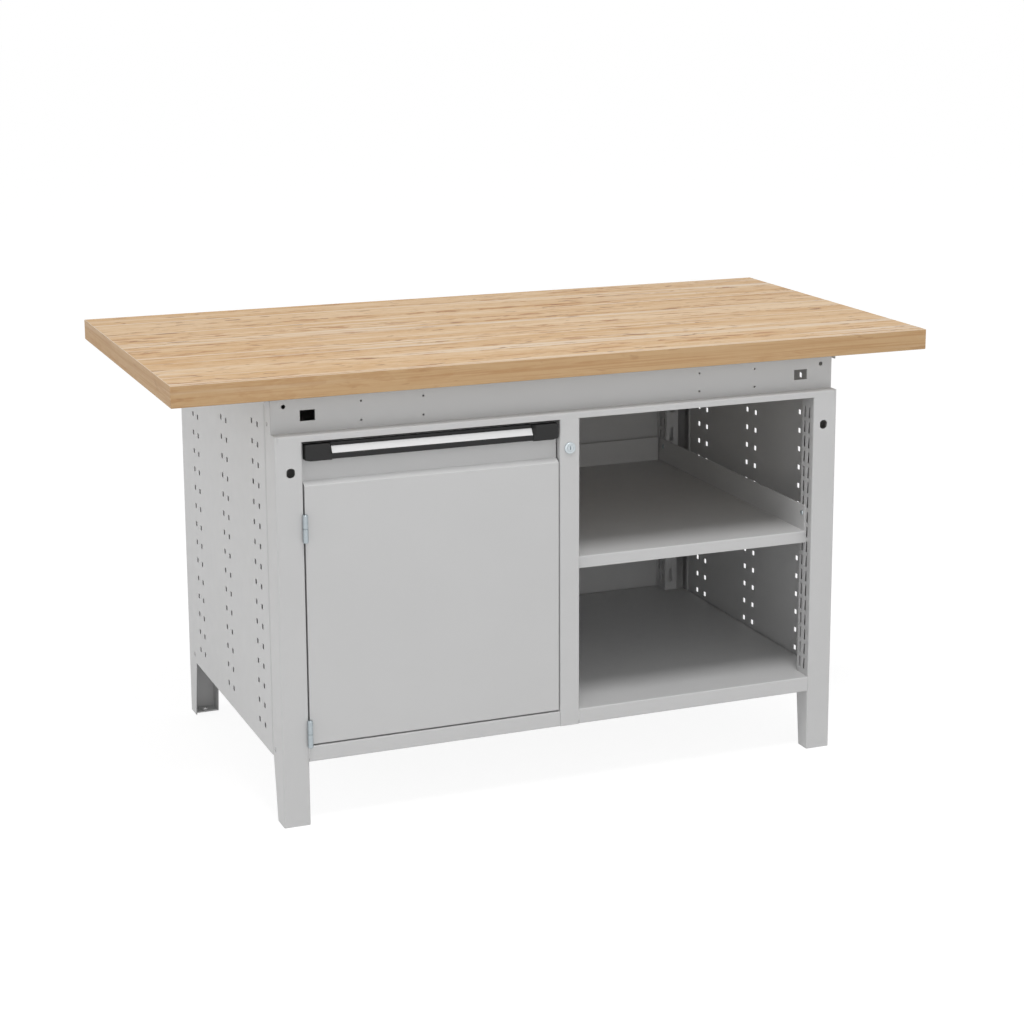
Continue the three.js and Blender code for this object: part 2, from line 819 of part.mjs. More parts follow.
// A turned piece about the lock's axis, from radius and depth behind the front face.
function lockTurning(profile) {
  const geometry = turned(profile.map(([radius, depth]) => [radius, frontY + depth]), roundFacets);
  geometry.translate(0, 0, lockZ);
  return solidOf(geometry);
}

function lockBody() {
  const bore = plugRadius + runningGap;
  return lockTurning([
    [bore, -lockHeadHeight],
    [lockHeadRadius - lockHeadChamfer, -lockHeadHeight],
    [lockHeadRadius, lockHeadChamfer - lockHeadHeight],
    [lockHeadRadius, 0],
    [lockShankRadius, 0],
    [lockShankRadius, lockLength],
    [bore, lockLength],
    [bore, -lockHeadHeight],
  ]);
}

function lockNut() {
  const from = frontY + frameSheet;
  const to = from + lockNutHeight;
  const holeRadius = lockShankRadius + lockHoleGap;
  const hole = bar("y", [lockZ, 0], holeRadius, from - cutSpare, to + cutSpare, roundFacets);
  return bar("y", [lockZ, 0], lockNutRadius, from, to, hexFacets).subtract(hole);
}

function lockPlug() {
  const front = -lockHeadHeight - plugProud;
  const shoulder = lockLength + seatGap;
  const plug = lockTurning([
    [0, front],
    [plugRadius, front],
    [plugRadius, shoulder],
    [plugTailRadius, shoulder],
    [plugTailRadius, shoulder + plugTailLength],
    [0, shoulder + plugTailLength],
  ]);
  const keyLow = [-keySlotWidth / 2, frontY + front - cutSpare, lockZ - keySlotHeight / 2];
  const keyHigh = [keySlotWidth / 2, frontY + front + keySlotDepth, lockZ + keySlotHeight / 2];
  return plug.subtract(block(keyLow, keyHigh));
}

// Cam, hanging down when the door is free, and swung to the left through the slots to lock it.
function lockCam() {
  const to = camFrontY + camThickness;
  const tongue = block([-camWidth / 2, camFrontY, lockZ - camReach], [camWidth / 2, to, lockZ]);
  const hub = bar("y", [lockZ, 0], camHubRadius, camFrontY, to, roundFacets);
  const holeRadius = plugTailRadius + runningGap;
  const hole = bar("y", [lockZ, 0], holeRadius, camFrontY - cutSpare, to + cutSpare, roundFacets);
  return hub.add(tongue).subtract(hole);
}

function camNut() {
  const from = camFrontY + camThickness + seatGap;
  const to = from + camNutHeight;
  const holeRadius = plugTailRadius + runningGap;
  const hole = bar("y", [lockZ, 0], holeRadius, from - cutSpare, to + cutSpare, roundFacets);
  return bar("y", [lockZ, 0], camNutRadius, from, to, hexFacets).subtract(hole);
}

// Worktop: one slab with eased edges.
function worktop() {
  const halfLength = topLength / 2;
  const halfDepth = topDepth / 2;
  const outline = [
    [-halfLength, -halfDepth],
    [halfLength, -halfDepth],
    [halfLength, halfDepth],
    [-halfLength, halfDepth],
  ];
  const geometry = new THREE.ExtrudeGeometry(shapeOf(outline), {
    depth: topThickness - 2 * topEase,
    bevelEnabled: true,
    bevelThickness: topEase,
    bevelSize: topEase,
    bevelOffset: -topEase,
    bevelSegments: easeSteps,
  });
  geometry.translate(0, 0, topUnderside + topEase);
  return solidOf(geometry);
}

const finishes = {
  wood: new THREE.MeshStandardMaterial({ color: 0xd2aa78, roughness: 0.55, metalness: 0 }),
  paint: new THREE.MeshStandardMaterial({ color: 0xbdbdbd, roughness: 0.45, metalness: 0.1 }),
  zinc: new THREE.MeshStandardMaterial({ color: 0xb0b8bc, roughness: 0.35, metalness: 0.9 }),
  grip: new THREE.MeshStandardMaterial({ color: 0x1b1b1c, roughness: 0.5, metalness: 0.1 }),
  cap: new THREE.MeshStandardMaterial({ color: 0x3a3a3b, roughness: 0.6, metalness: 0 }),
  label: new THREE.MeshStandardMaterial({ color: 0xe2e3e4, roughness: 0.35, metalness: 0.6 }),
};

const bench = new THREE.Group();

// Adds a piece, mirrored to the other side of the bench where a sign is negative.
function addPiece(name, solid, finish, signX = 1, signY = 1) {
  const mesh = new THREE.Mesh(geometryOf(solid), finishes[finish]);
  mesh.name = name;
  mesh.scale.set(signX, signY, 1);
  bench.add(mesh);
}

addPiece("worktop", worktop(), "wood");

const ends = [
  ["front", 1],
  ["rear", -1],
];
const sides = [
  ["left", 1],
  ["right", -1],
];
for (const [end, signY] of ends) {
  for (const [side, signX] of sides) {
    addPiece(`post_${end}_${side}`, post(end === "front"), "paint", signX, signY);
    addPiece(`foot_plate_${end}_${side}`, postFootPlate(), "paint", signX, signY);
  }
  addPiece(`upper_rail_${end}`, upperRail(), "paint", 1, signY);
  addPiece(`centre_post_${end}`, centrePost(end === "front"), "paint", 1, signY);
}
for (const [side, signX] of sides) {
  addPiece(`side_panel_${side}`, sidePanel(), "paint", signX);
  addPiece(`worktop_support_${side}`, worktopSupport(), "paint", -signX);
  addPiece(`bottom_shelf_${side}`, bottomShelf(), "paint", -signX);
  addPiece(`back_panel_${side}`, backPanel(), "paint", -signX);
}
addPiece("divider_panel", divider(), "paint");

const bayFrontY = frontY + trayFrontInset;
const cupboardFrontY = doorBackY + cupboardShelfGap;
addPiece("bay_tray_shelf", trayShelf(centreHalf, postInnerX, bayFrontY), "paint");
addPiece("cupboard_tray_shelf", trayShelf(-postInnerX, -centreHalf, cupboardFrontY), "paint");
trayBoltPlaces().forEach((y, index) => {
  const end = ends[index][0];
  const outerBolt = trayBolt(postInnerX - panelSheet, y);
  const innerBolt = trayBolt(-centreHalf - panelSheet, y);
  addPiece(`bay_bolt_${end}_right`, outerBolt, "zinc");
  addPiece(`bay_bolt_${end}_left`, innerBolt, "zinc", -1);
  addPiece(`cupboard_bolt_${end}_left`, outerBolt, "zinc", -1);
  addPiece(`cupboard_bolt_${end}_right`, innerBolt, "zinc");
});

addPiece("door_panel", doorPanel(), "paint");
addPiece("grip_profile", gripProfile(), "grip");
addPiece("grip_end_left", gripEnd(-1), "cap");
addPiece("grip_end_right", gripEnd(1), "cap");
addPiece("label_strip", labelStrip(), "label");
["lower", "upper"].forEach((level, index) => {
  const jointZ = shelfTop + hingePlaces[index];
  addPiece(`hinge_${level}_frame_knuckle`, hingeKnuckle(jointZ, false), "zinc");
  addPiece(`hinge_${level}_door_knuckle`, hingeKnuckle(jointZ, true), "zinc");
  addPiece(`hinge_${level}_pin`, hingePin(jointZ), "zinc");
  addPiece(`door_stop_${level}`, doorStop(shelfTop + stopPlaces[index]), "zinc");
});

addPiece("lock_body", lockBody(), "zinc");
addPiece("lock_nut", lockNut(), "zinc");
addPiece("lock_plug", lockPlug(), "zinc");
addPiece("lock_cam", lockCam(), "zinc");
addPiece("lock_cam_nut", camNut(), "zinc");

export default bench;
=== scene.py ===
# %% [markdown]
# # A workshop bench with a cupboard
#
# The bench is a laminated wood slab on a frame of folded sheet steel, with a lockable cupboard on the
# left and an open bay with a tray shelf on the right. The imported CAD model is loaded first, as a fixed
# frame in metres. Every piece below is made round that frame and rides on one of its bodies, so the door
# and the lock still move.

# %% Load the fixed frame
import json
import math

import bmesh
import bpy
from mathutils import Matrix, Vector


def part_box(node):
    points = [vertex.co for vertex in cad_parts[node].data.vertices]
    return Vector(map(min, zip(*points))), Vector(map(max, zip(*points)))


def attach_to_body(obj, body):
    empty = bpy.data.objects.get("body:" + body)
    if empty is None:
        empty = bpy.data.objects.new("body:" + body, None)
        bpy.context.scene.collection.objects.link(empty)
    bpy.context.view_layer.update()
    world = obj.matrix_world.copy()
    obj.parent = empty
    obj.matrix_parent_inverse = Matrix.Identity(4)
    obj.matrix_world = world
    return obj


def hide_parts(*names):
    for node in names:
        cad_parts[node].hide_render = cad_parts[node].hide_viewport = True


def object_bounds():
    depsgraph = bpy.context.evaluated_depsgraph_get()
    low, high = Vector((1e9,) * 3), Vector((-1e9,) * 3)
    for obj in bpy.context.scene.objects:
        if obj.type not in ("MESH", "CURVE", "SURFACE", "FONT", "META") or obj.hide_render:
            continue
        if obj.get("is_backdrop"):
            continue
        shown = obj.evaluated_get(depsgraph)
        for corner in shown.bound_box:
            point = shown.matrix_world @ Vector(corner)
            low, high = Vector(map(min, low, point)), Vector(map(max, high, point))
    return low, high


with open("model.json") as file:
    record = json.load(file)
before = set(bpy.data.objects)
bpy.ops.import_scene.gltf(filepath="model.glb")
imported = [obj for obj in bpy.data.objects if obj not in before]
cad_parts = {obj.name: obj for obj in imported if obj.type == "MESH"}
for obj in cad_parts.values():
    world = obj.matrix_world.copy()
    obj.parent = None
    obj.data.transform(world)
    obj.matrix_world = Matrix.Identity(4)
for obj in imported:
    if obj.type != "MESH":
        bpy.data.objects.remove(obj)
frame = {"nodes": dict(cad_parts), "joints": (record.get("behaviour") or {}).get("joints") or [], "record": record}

MM = 0.001
cad_low, cad_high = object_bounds()
bodies = frame["record"]["behaviour"]["bodies"]
body_of_node = {node: body for body, nodes in bodies.items() for node in nodes}
print("CAD nodes:", len(frame["nodes"]), "box in mm:", [round(x / MM) for x in cad_high - cad_low])

# %% [markdown]
# ## Camera
#
# The photograph is nearly a two-point view: its uprights stay upright while it looks down on the top. A
# camera that is tilted down a little and shifted a little comes close to that, and it still works when
# another view moves it. The place, the turn and the focal length were found from the corners of the
# worktop and of the frame.

# %% Set up the camera
PHOTO_SIDE = 1024
FOCAL_PIXELS = 2267
CAMERA_PLACE = Vector((-1598, -4143, 1591)) * MM
CAMERA_YAW = math.radians(22.71)
CAMERA_DOWN = math.radians(11.76)
CAMERA_SHIFT = (-0.05, -0.10)
LOOK_LEVEL = math.radians(90)

lens = bpy.data.cameras.new("camera")
lens.lens = FOCAL_PIXELS / PHOTO_SIDE * lens.sensor_width
lens.shift_x, lens.shift_y = CAMERA_SHIFT
camera = bpy.data.objects.new("camera", lens)
camera.location = CAMERA_PLACE
camera.rotation_euler = (LOOK_LEVEL - CAMERA_DOWN, 0, -CAMERA_YAW)
bpy.context.scene.collection.objects.link(camera)
bpy.context.scene.camera = camera
bpy.context.scene.view_settings.view_transform = "Standard"
print("focal length:", round(lens.lens, 1), "mm")

# %% [markdown]
# ## Node helpers
#
# A material or a Geometry Nodes tree is a graph. These helpers add one node, set its inputs, and link a
# socket where the value is one, so each finish below reads as a short list of what happens to the
# surface. Colours are written as a screen shows them and turned into the linear values that a shader
# takes.


# %% Helpers for node trees
def add(tree, kind, inputs=None, **settings):
    """Adds a node. An input takes a plain value, or a socket to link from."""
    made = tree.nodes.new(kind)
    for name, value in settings.items():
        setattr(made, name, value)
    for name, value in (inputs or {}).items():
        if isinstance(value, bpy.types.NodeSocket):
            tree.links.new(value, made.inputs[name])
        else:
            made.inputs[name].default_value = value
    return made


def maths(tree, operation, first, second=0.0):
    return add(tree, "ShaderNodeMath", {0: first, 1: second}, operation=operation).outputs[0]


def mapped(tree, value, low, high, to_low, to_high):
    """A value from one range to another, held at both ends."""
    values = {"Value": value, "From Min": low, "From Max": high, "To Min": to_low, "To Max": to_high}
    return add(tree, "ShaderNodeMapRange", values).outputs["Result"]


def srgb(red, green, blue):
    """A colour as seen on a screen, 0 to 255, by the standard formula for linear light."""
    shares = [value / 255 for value in (red, green, blue)]
    linear = [x / 12.92 if x <= 0.04045 else ((x + 0.055) / 1.055) ** 2.4 for x in shares]
    return (*linear, 1.0)


MID_GREY = srgb(128, 128, 128)
print("a screen's mid grey is", round(MID_GREY[0], 3), "in linear light")


# %% Helpers for finishes
def finish_tree(name):
    """An empty material with a Principled surface, and its tree, surface and Object coordinates."""
    made = bpy.data.materials.new(name)
    made.use_nodes = True
    tree = made.node_tree
    tree.nodes.clear()
    surface = add(tree, "ShaderNodeBsdfPrincipled")
    add(tree, "ShaderNodeOutputMaterial", {"Surface": surface.outputs["BSDF"]})
    place = add(tree, "ShaderNodeTexCoord").outputs["Object"]
    return made, tree, surface, place


def stretched(tree, vector, scale):
    """The coordinates with a scale of their own along each axis."""
    return add(tree, "ShaderNodeMapping", {"Vector": vector, "Scale": scale}).outputs["Vector"]


def noise(tree, vector, scale, detail=2.0, roughness=0.5, distortion=0.0):
    values = {"Vector": vector, "Scale": scale, "Detail": detail}
    values |= {"Roughness": roughness, "Distortion": distortion}
    return add(tree, "ShaderNodeTexNoise", values).outputs["Fac"]


def mixed(tree, factor, first, second):
    """Two colours mixed by a factor. A Mix node has its colours at sockets 6 and 7, and the result at 2."""
    values = {0: factor, 6: first, 7: second}
    return add(tree, "ShaderNodeMix", values, data_type="RGBA", blend_type="MIX").outputs[2]


def coloured(tree, surface, colour):
    tree.links.new(colour, surface.inputs["Base Color"])


NOISE_SPAN = (0.3, 0.7)


def roughened(tree, surface, value, smooth, rough):
    """A roughness that follows a noise, which hardly ever leaves its span."""
    tree.links.new(mapped(tree, value, *NOISE_SPAN, smooth, rough), surface.inputs["Roughness"])


def bump(tree, surface, height, strength, distance):
    values = {"Height": height, "Strength": strength, "Distance": distance}
    tree.links.new(add(tree, "ShaderNodeBump", values).outputs["Normal"], surface.inputs["Normal"])


print("noise span:", NOISE_SPAN)

# %% [markdown]
# ## Sky and floor
#
# The bench stands in soft studio light. Most of it comes from pale walls all round, so the sky is
# brightest a little above the horizon. The background is white by Light Path: the camera and the metal
# see a white sky, and the floor keeps the soft shadow of the bench. A white backdrop could be lit
# instead, but then its light would wash out the bench.

# %% Sky
WHITE = (1, 1, 1, 1)
SKY_HORIZON = 0.49
SKY_MIDDLE = 0.66
SKY_MIDDLE_AT = 0.4
SKY_OVERHEAD = 0.43


def seen_directly(tree):
    """1 for a ray of the camera, of a reflection or through glass."""
    path = add(tree, "ShaderNodeLightPath")
    seen = maths(tree, "MAXIMUM", path.outputs["Is Camera Ray"], path.outputs["Is Glossy Ray"])
    return maths(tree, "MAXIMUM", seen, path.outputs["Is Transmission Ray"])


world = bpy.data.worlds.new("studio")
bpy.context.scene.world = world
world.use_nodes = True
sky_tree = world.node_tree
sky_tree.nodes.clear()
sky_way = add(sky_tree, "ShaderNodeTexCoord").outputs["Generated"]
sky_height = add(sky_tree, "ShaderNodeSeparateXYZ", {"Vector": sky_way}).outputs["Z"]
sky_lower = mapped(sky_tree, sky_height, 0, SKY_MIDDLE_AT, SKY_HORIZON, SKY_MIDDLE)
sky_upper = mapped(sky_tree, sky_height, SKY_MIDDLE_AT, 1, 0, SKY_OVERHEAD - SKY_MIDDLE)
sky_light = maths(sky_tree, "ADD", sky_lower, sky_upper)
sky_level = mapped(sky_tree, seen_directly(sky_tree), 0, 1, sky_light, 1)
sky = add(sky_tree, "ShaderNodeBackground", {"Color": WHITE, "Strength": sky_level})
add(sky_tree, "ShaderNodeOutputWorld", {"Surface": sky.outputs["Background"]})
print("sky from the horizon up:", SKY_HORIZON, SKY_MIDDLE, SKY_OVERHEAD)

# %% Floor
FLOOR_SIDE = 60
FLOOR_GLOW = 0.88
FLOOR_SHADE = 0.22
FLOOR_GREY = 0.70
FLOOR_LIFT = 0.12


def glowing_floor(tree, grey, strength):
    """A plain grey that also gives some light of its own."""
    diffuse = add(tree, "ShaderNodeBsdfDiffuse", {"Color": (grey, grey, grey, 1)}).outputs[0]
    glow = add(tree, "ShaderNodeEmission", {"Color": WHITE, "Strength": strength}).outputs[0]
    return add(tree, "ShaderNodeAddShader", {0: diffuse, 1: glow}).outputs[0]


floor_finish = bpy.data.materials.new("pale_floor")
floor_finish.use_nodes = True
floor_tree = floor_finish.node_tree
floor_tree.nodes.clear()
seen_floor = glowing_floor(floor_tree, FLOOR_SHADE, FLOOR_GLOW)
lit_floor = glowing_floor(floor_tree, FLOOR_GREY, FLOOR_LIFT)
by_ray = {0: seen_directly(floor_tree), 1: lit_floor, 2: seen_floor}
floor_mix = add(floor_tree, "ShaderNodeMixShader", by_ray)
add(floor_tree, "ShaderNodeOutputMaterial", {"Surface": floor_mix.outputs[0]})

floor_mesh = bpy.data.meshes.new("floor")
half = FLOOR_SIDE / 2
floor_corners = [(-half, -half, 0), (half, -half, 0), (half, half, 0), (-half, half, 0)]
floor_mesh.from_pydata(floor_corners, [], [range(len(floor_corners))])
floor_mesh.materials.append(floor_finish)
floor = bpy.data.objects.new("floor", floor_mesh)
bpy.context.scene.collection.objects.link(floor)
floor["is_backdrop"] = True
print("floor:", FLOOR_SIDE, "m square")

# %% [markdown]
# ## Lamps
#
# One lamp high in front lights the first hand's breadth of each shelf and leaves a soft shadow line
# there, and two weak ones lift the left side and the front. Wide lamps were chosen because the shadows in
# the photograph have soft edges.

# %% Lamps
FRONT_LAMP = {"place": (-0.25, -1.84, 5.2), "aim": (0, -0.36, 0.45), "side": 1.5, "watts": 108}
SIDE_LAMP = {"place": (-4.6, 0.2, 1.8), "aim": (-0.56, 0, 0.45), "side": 2.6, "watts": 24}
FILL_LAMP = {"place": (-0.8, -6.2, 1.6), "aim": (0, 0, 0.45), "side": 3.5, "watts": 34}


def soft_lamp(name, place, aim, side, watts):
    """A square lamp at a place, turned towards an aim."""
    data = bpy.data.lights.new(name, "AREA")
    data.size = side
    data.energy = watts
    lamp = bpy.data.objects.new(name, data)
    lamp.location = place
    lamp.rotation_euler = (Vector(aim) - Vector(place)).to_track_quat("-Z", "Y").to_euler()
    bpy.context.scene.collection.objects.link(lamp)


soft_lamp("front_lamp", **FRONT_LAMP)
soft_lamp("side_lamp", **SIDE_LAMP)
soft_lamp("fill_lamp", **FILL_LAMP)
print("lamps in watts:", [lamp["watts"] for lamp in (FRONT_LAMP, SIDE_LAMP, FILL_LAMP)])

# %% [markdown]
# ## Powder coat
#
# The steel is powder coated in a light grey. Such a coat has a fine orange peel that only shows in a
# reflection, a faint unevenness of gloss and hardly any change of colour. An image could give them, but
# noise in Object coordinates has no seams. Its sizes here are about 1 mm, 30 mm and 170 mm.

# %% Powder coat
PAINT_GREY = srgb(200, 200, 200)
PAINT_LIGHT = srgb(204, 204, 204)
PAINT_CLOUDS = 6
PAINT_GLOSS_SPOTS = 35
PAINT_GLOSS = (0.40, 0.48)
PAINT_SHINE = 0.4
ORANGE_PEEL = 900
PEEL_STRENGTH = 0.05
PEEL_DEPTH = 0.2 * MM


def powder_coat():
    made, tree, surface, place = finish_tree("powder_coat_grey")
    cloud = noise(tree, place, PAINT_CLOUDS, detail=3)
    coloured(tree, surface, mixed(tree, cloud, PAINT_GREY, PAINT_LIGHT))
    roughened(tree, surface, noise(tree, place, PAINT_GLOSS_SPOTS, detail=3), *PAINT_GLOSS)
    surface.inputs["Specular IOR Level"].default_value = PAINT_SHINE
    bump(tree, surface, noise(tree, place, ORANGE_PEEL, detail=1), PEEL_STRENGTH, PEEL_DEPTH)
    return made


paint = powder_coat()
print("made", paint.name)

# %% [markdown]
# ## Laminated wood
#
# The top is glued from long staves that run the length of the bench, and each end is closed by one more
# stave across them. Each stave is another board, so its grain starts afresh at the glue line. The row
# number of a stave is the floor of the way across over its width, and a White Noise of that number moves
# the grain.
#
# The grain is noise drawn out along the stave: broad bands, a finer figure, blotches and fibres go from a
# pale wood to a warmer one, brown dashes stand in long rows, and whitish wisps run between them. So what
# is darker is also more orange, as on the real wood. The planed top shows the dashes, the edges show the
# year rings as fine lines, and the eased arris between them is painted paler, as a painted highlight. The
# glue lines are pale and come and go along their length. The underside is left raw, so it is greyer.

# %% Staves and grain of the wood
STAVE_WIDTH = 130 * MM
STAVE_START = 0.82
STAVE_SHIFT = (9, 3, 3)
GRAIN_ROUGHNESS = 0.6


def vector_math(tree, operation, first, second):
    return add(tree, "ShaderNodeVectorMath", {0: first, 1: second}, operation=operation).outputs[0]


def past(tree, value, limit):
    """1 where a coordinate lies further out than a limit, on either side."""
    return maths(tree, "GREATER_THAN", maths(tree, "ABSOLUTE", value), limit)


def staves(tree, grain_place):
    """The way across in staves, and the coordinates on each board, shifted by chance."""
    sideways = add(tree, "ShaderNodeSeparateXYZ", {"Vector": grain_place}).outputs["Y"]
    across = maths(tree, "ADD", maths(tree, "DIVIDE", sideways, STAVE_WIDTH), STAVE_START)
    row = {"W": maths(tree, "FLOOR", across)}
    chance = add(tree, "ShaderNodeTexWhiteNoise", row, noise_dimensions="1D").outputs["Color"]
    shift = vector_math(tree, "MULTIPLY", chance, STAVE_SHIFT)
    return across, vector_math(tree, "ADD", grain_place, shift)


def drawn_out(tree, board, along, across, detail=3, distortion=0.4):
    """Noise with a scale of its own along and across the stave."""
    place = stretched(tree, board, (along, across, across))
    return noise(tree, place, 1, detail, GRAIN_ROUGHNESS, distortion)


def weighed(tree, *parts):
    """The sum of values, each times its weight."""
    total = 0.0
    for value, weight in parts:
        total = maths(tree, "ADD", maths(tree, "MULTIPLY", value, weight), total)
    return total


print("staves across the top:", round((cad_high.y - cad_low.y) / STAVE_WIDTH, 1))

# %% Colours of the wood
WOOD_PALE = srgb(216, 188, 152)
WOOD_OCHRE = srgb(195, 155, 106)
WOOD_EDGE = srgb(192, 157, 115)
WOOD_DASH = srgb(166, 116, 66)
WOOD_FLECK = srgb(132, 86, 48)
# The pale colour of the wisps and glue lines, and also of the painted highlight on the arris.
WOOD_WISP_AND_HIGHLIGHT = srgb(218, 201, 180)
WOOD_RAW = srgb(192, 184, 172)
print("pale wood in linear light:", [round(x, 2) for x in WOOD_PALE[:3]])

# %% Broad grain of the wood
BANDS = {"along": 0.8, "across": 17, "detail": 2}
FIGURE = {"along": 4, "across": 70, "distortion": 0.9}
BLOTCHES = {"along": 46, "across": 95}
FIBRES = {"along": 16, "across": 330, "detail": 4}
BANDS_SHARE = 0.42
FIGURE_SHARE = 0.25
BLOTCHES_SHARE = 0.18
FIBRES_SHARE = 0.15


def grain_values(tree, board):
    """The grain as one value, and the fibres alone."""
    bands = drawn_out(tree, board, **BANDS)
    figure = drawn_out(tree, board, **FIGURE)
    blotches = drawn_out(tree, board, **BLOTCHES)
    fibres = drawn_out(tree, board, **FIBRES)
    broad = ((bands, BANDS_SHARE), (figure, FIGURE_SHARE))
    fine = ((blotches, BLOTCHES_SHARE), (fibres, FIBRES_SHARE))
    return weighed(tree, *broad, *fine), fibres


print("shares of the grain:", BANDS_SHARE, FIGURE_SHARE, BLOTCHES_SHARE, FIBRES_SHARE)

# %% Dashes, wisps, flecks and year rings
DASH_ROWS = {"along": 1.4, "across": 36, "detail": 2}
DASH_ROWS_FROM = (0.49, 0.61)
DASHES = {"along": 20, "across": 82}
DASHES_FROM = (0.49, 0.59)
DASHES_MOST = 0.86
WISPS = {"along": 1.1, "across": 38, "detail": 2}
WISPS_FROM = (0.43, 0.33)
WISPS_MOST = 0.75
FLECKS = {"along": 17, "across": 84, "detail": 2}
FLECKS_FROM = (0.645, 0.69)
FLECKS_MOST = 0.88
RINGS = {"along": 2.2, "across": 150, "distortion": 1.4}
RINGS_FROM = (0.49, 0.60)
RINGS_MOST = 0.34


def marked(tree, board, colour, calm, on_edge):
    """A wood colour with dashes in rows, wisps and flecks, and with year rings on the edges."""
    rows = mapped(tree, drawn_out(tree, board, **DASH_ROWS), *DASH_ROWS_FROM, 0, 1)
    dashes = mapped(tree, drawn_out(tree, board, **DASHES), *DASHES_FROM, 0, DASHES_MOST)
    streak = maths(tree, "MULTIPLY", maths(tree, "MULTIPLY", rows, dashes), calm)
    colour = mixed(tree, streak, colour, WOOD_DASH)
    wisp = mapped(tree, drawn_out(tree, board, **WISPS), *WISPS_FROM, 0, WISPS_MOST)
    colour = mixed(tree, maths(tree, "MULTIPLY", wisp, calm), colour, WOOD_WISP_AND_HIGHLIGHT)
    fleck = mapped(tree, drawn_out(tree, board, **FLECKS), *FLECKS_FROM, 0, FLECKS_MOST)
    colour = mixed(tree, maths(tree, "MULTIPLY", fleck, calm), colour, WOOD_FLECK)
    rings = mapped(tree, drawn_out(tree, board, **RINGS), *RINGS_FROM, 0, RINGS_MOST)
    return mixed(tree, maths(tree, "MULTIPLY", rings, on_edge), colour, WOOD_DASH)


print("most of each mark:", DASHES_MOST, WISPS_MOST, FLECKS_MOST, RINGS_MOST)

# %% Glue lines and arris
GLUE_CORE = 1.5 * MM
GLUE_FADE = 4.5 * MM
GLUE_BREAKS = {"along": 1.4, "across": 5}
GLUE_BREAKS_FROM = (0.40, 0.54)
GLUE_LEAST = 0.2
GLUE_MOST = 0.95
ARRIS = 1.2 * MM


def glue_lines(tree, across, grain_place):
    """1 in the middle of a glue line and less beside it, with breaks along its length."""
    from_line = maths(tree, "MULTIPLY", maths(tree, "PINGPONG", across, 0.5), STAVE_WIDTH)
    breaks = drawn_out(tree, grain_place, **GLUE_BREAKS)
    come_and_go = mapped(tree, breaks, *GLUE_BREAKS_FROM, GLUE_LEAST, GLUE_MOST)
    return maths(tree, "MULTIPLY", mapped(tree, from_line, GLUE_CORE, GLUE_FADE, 1, 0), come_and_go)


def on_arris(tree, axes):
    """1 on the eased edge between the top and the sides, where the painted highlight goes."""
    past_end = past(tree, axes["X"], cad_high.x - ARRIS)
    past_front = past(tree, axes["Y"], cad_high.y - ARRIS)
    past_side = maths(tree, "MAXIMUM", past_end, past_front)
    return maths(tree, "MULTIPLY", past_side, past(tree, axes["Z"], cad_high.z - ARRIS))


print("a glue line fades out", round(GLUE_FADE / MM, 1), "mm to each side")

# %% Laminated wood
FACE_SKIN = 0.4 * MM
PALE_FROM = (0.40, 0.60)
EDGE_CALM = 0.25
# How far the arris is painted towards the pale colour: a painted highlight.
ARRIS_HIGHLIGHT = 0.7
UNDER_RAW = 0.8
WOOD_GLOSS = (0.58, 0.50)
WOOD_SHINE = 0.28
FIBRE_STRENGTH = 0.12
FIBRE_DEPTH = 0.3 * MM


def laminated_wood():
    made, tree, surface, place = finish_tree("laminated_wood")
    axes = add(tree, "ShaderNodeSeparateXYZ", {"Vector": place}).outputs
    swapped = {"X": axes["Y"], "Y": axes["X"], "Z": axes["Z"]}
    crossed = add(tree, "ShaderNodeCombineXYZ", swapped).outputs[0]
    on_end = past(tree, axes["X"], cad_high.x - FACE_SKIN)
    on_top = past(tree, axes["Z"], cad_high.z - FACE_SKIN)
    on_edge = mapped(tree, on_top, 0, 1, 1, 0)
    by_end = {0: on_end, 4: place, 5: crossed}
    grain_place = add(tree, "ShaderNodeMix", by_end, data_type="VECTOR").outputs[1]

    across, board = staves(tree, grain_place)
    grain, fibres = grain_values(tree, board)
    paleness = mapped(tree, grain, *PALE_FROM, 0, 1)
    calm = mapped(tree, on_top, 0, 1, EDGE_CALM, 1)
    warm = mixed(tree, on_top, WOOD_EDGE, WOOD_OCHRE)
    colour = mixed(tree, maths(tree, "MULTIPLY", paleness, calm), warm, WOOD_PALE)
    colour = marked(tree, board, colour, calm, on_edge)
    colour = mixed(tree, glue_lines(tree, across, grain_place), colour, WOOD_WISP_AND_HIGHLIGHT)
    # The eased arris is painted paler than the wood around it: a painted highlight.
    colour = mixed(tree, maths(tree, "MULTIPLY", on_arris(tree, axes), ARRIS_HIGHLIGHT), colour, WOOD_WISP_AND_HIGHLIGHT)
    under = maths(tree, "LESS_THAN", axes["Z"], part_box("worktop")[0].z + FACE_SKIN)
    colour = mixed(tree, maths(tree, "MULTIPLY", under, UNDER_RAW), colour, WOOD_RAW)

    coloured(tree, surface, colour)
    tree.links.new(mapped(tree, grain, *PALE_FROM, *WOOD_GLOSS), surface.inputs["Roughness"])
    surface.inputs["Specular IOR Level"].default_value = WOOD_SHINE
    bump(tree, surface, fibres, FIBRE_STRENGTH, FIBRE_DEPTH)
    return made


wood = laminated_wood()
print("made", wood.name, "with", len(wood.node_tree.nodes), "nodes")

# %% [markdown]
# ## Zinc, black profile, end caps and label
#
# The lock and the bolts are bright zinc with a bluish cast, and the hinges are the same zinc made darker,
# which is painted shade. The grip is a black extrusion with fine lines along it, its end caps are a dark grey
# moulding with a fine grain, and the label strip is pale and blank. Each is a base colour, a roughness and
# a bump that follow noise, which is stretched along the piece where the real one was drawn or extruded.

# %% Zinc
ZINC_LIGHT = srgb(210, 217, 220)
ZINC_DARK = srgb(179, 188, 193)
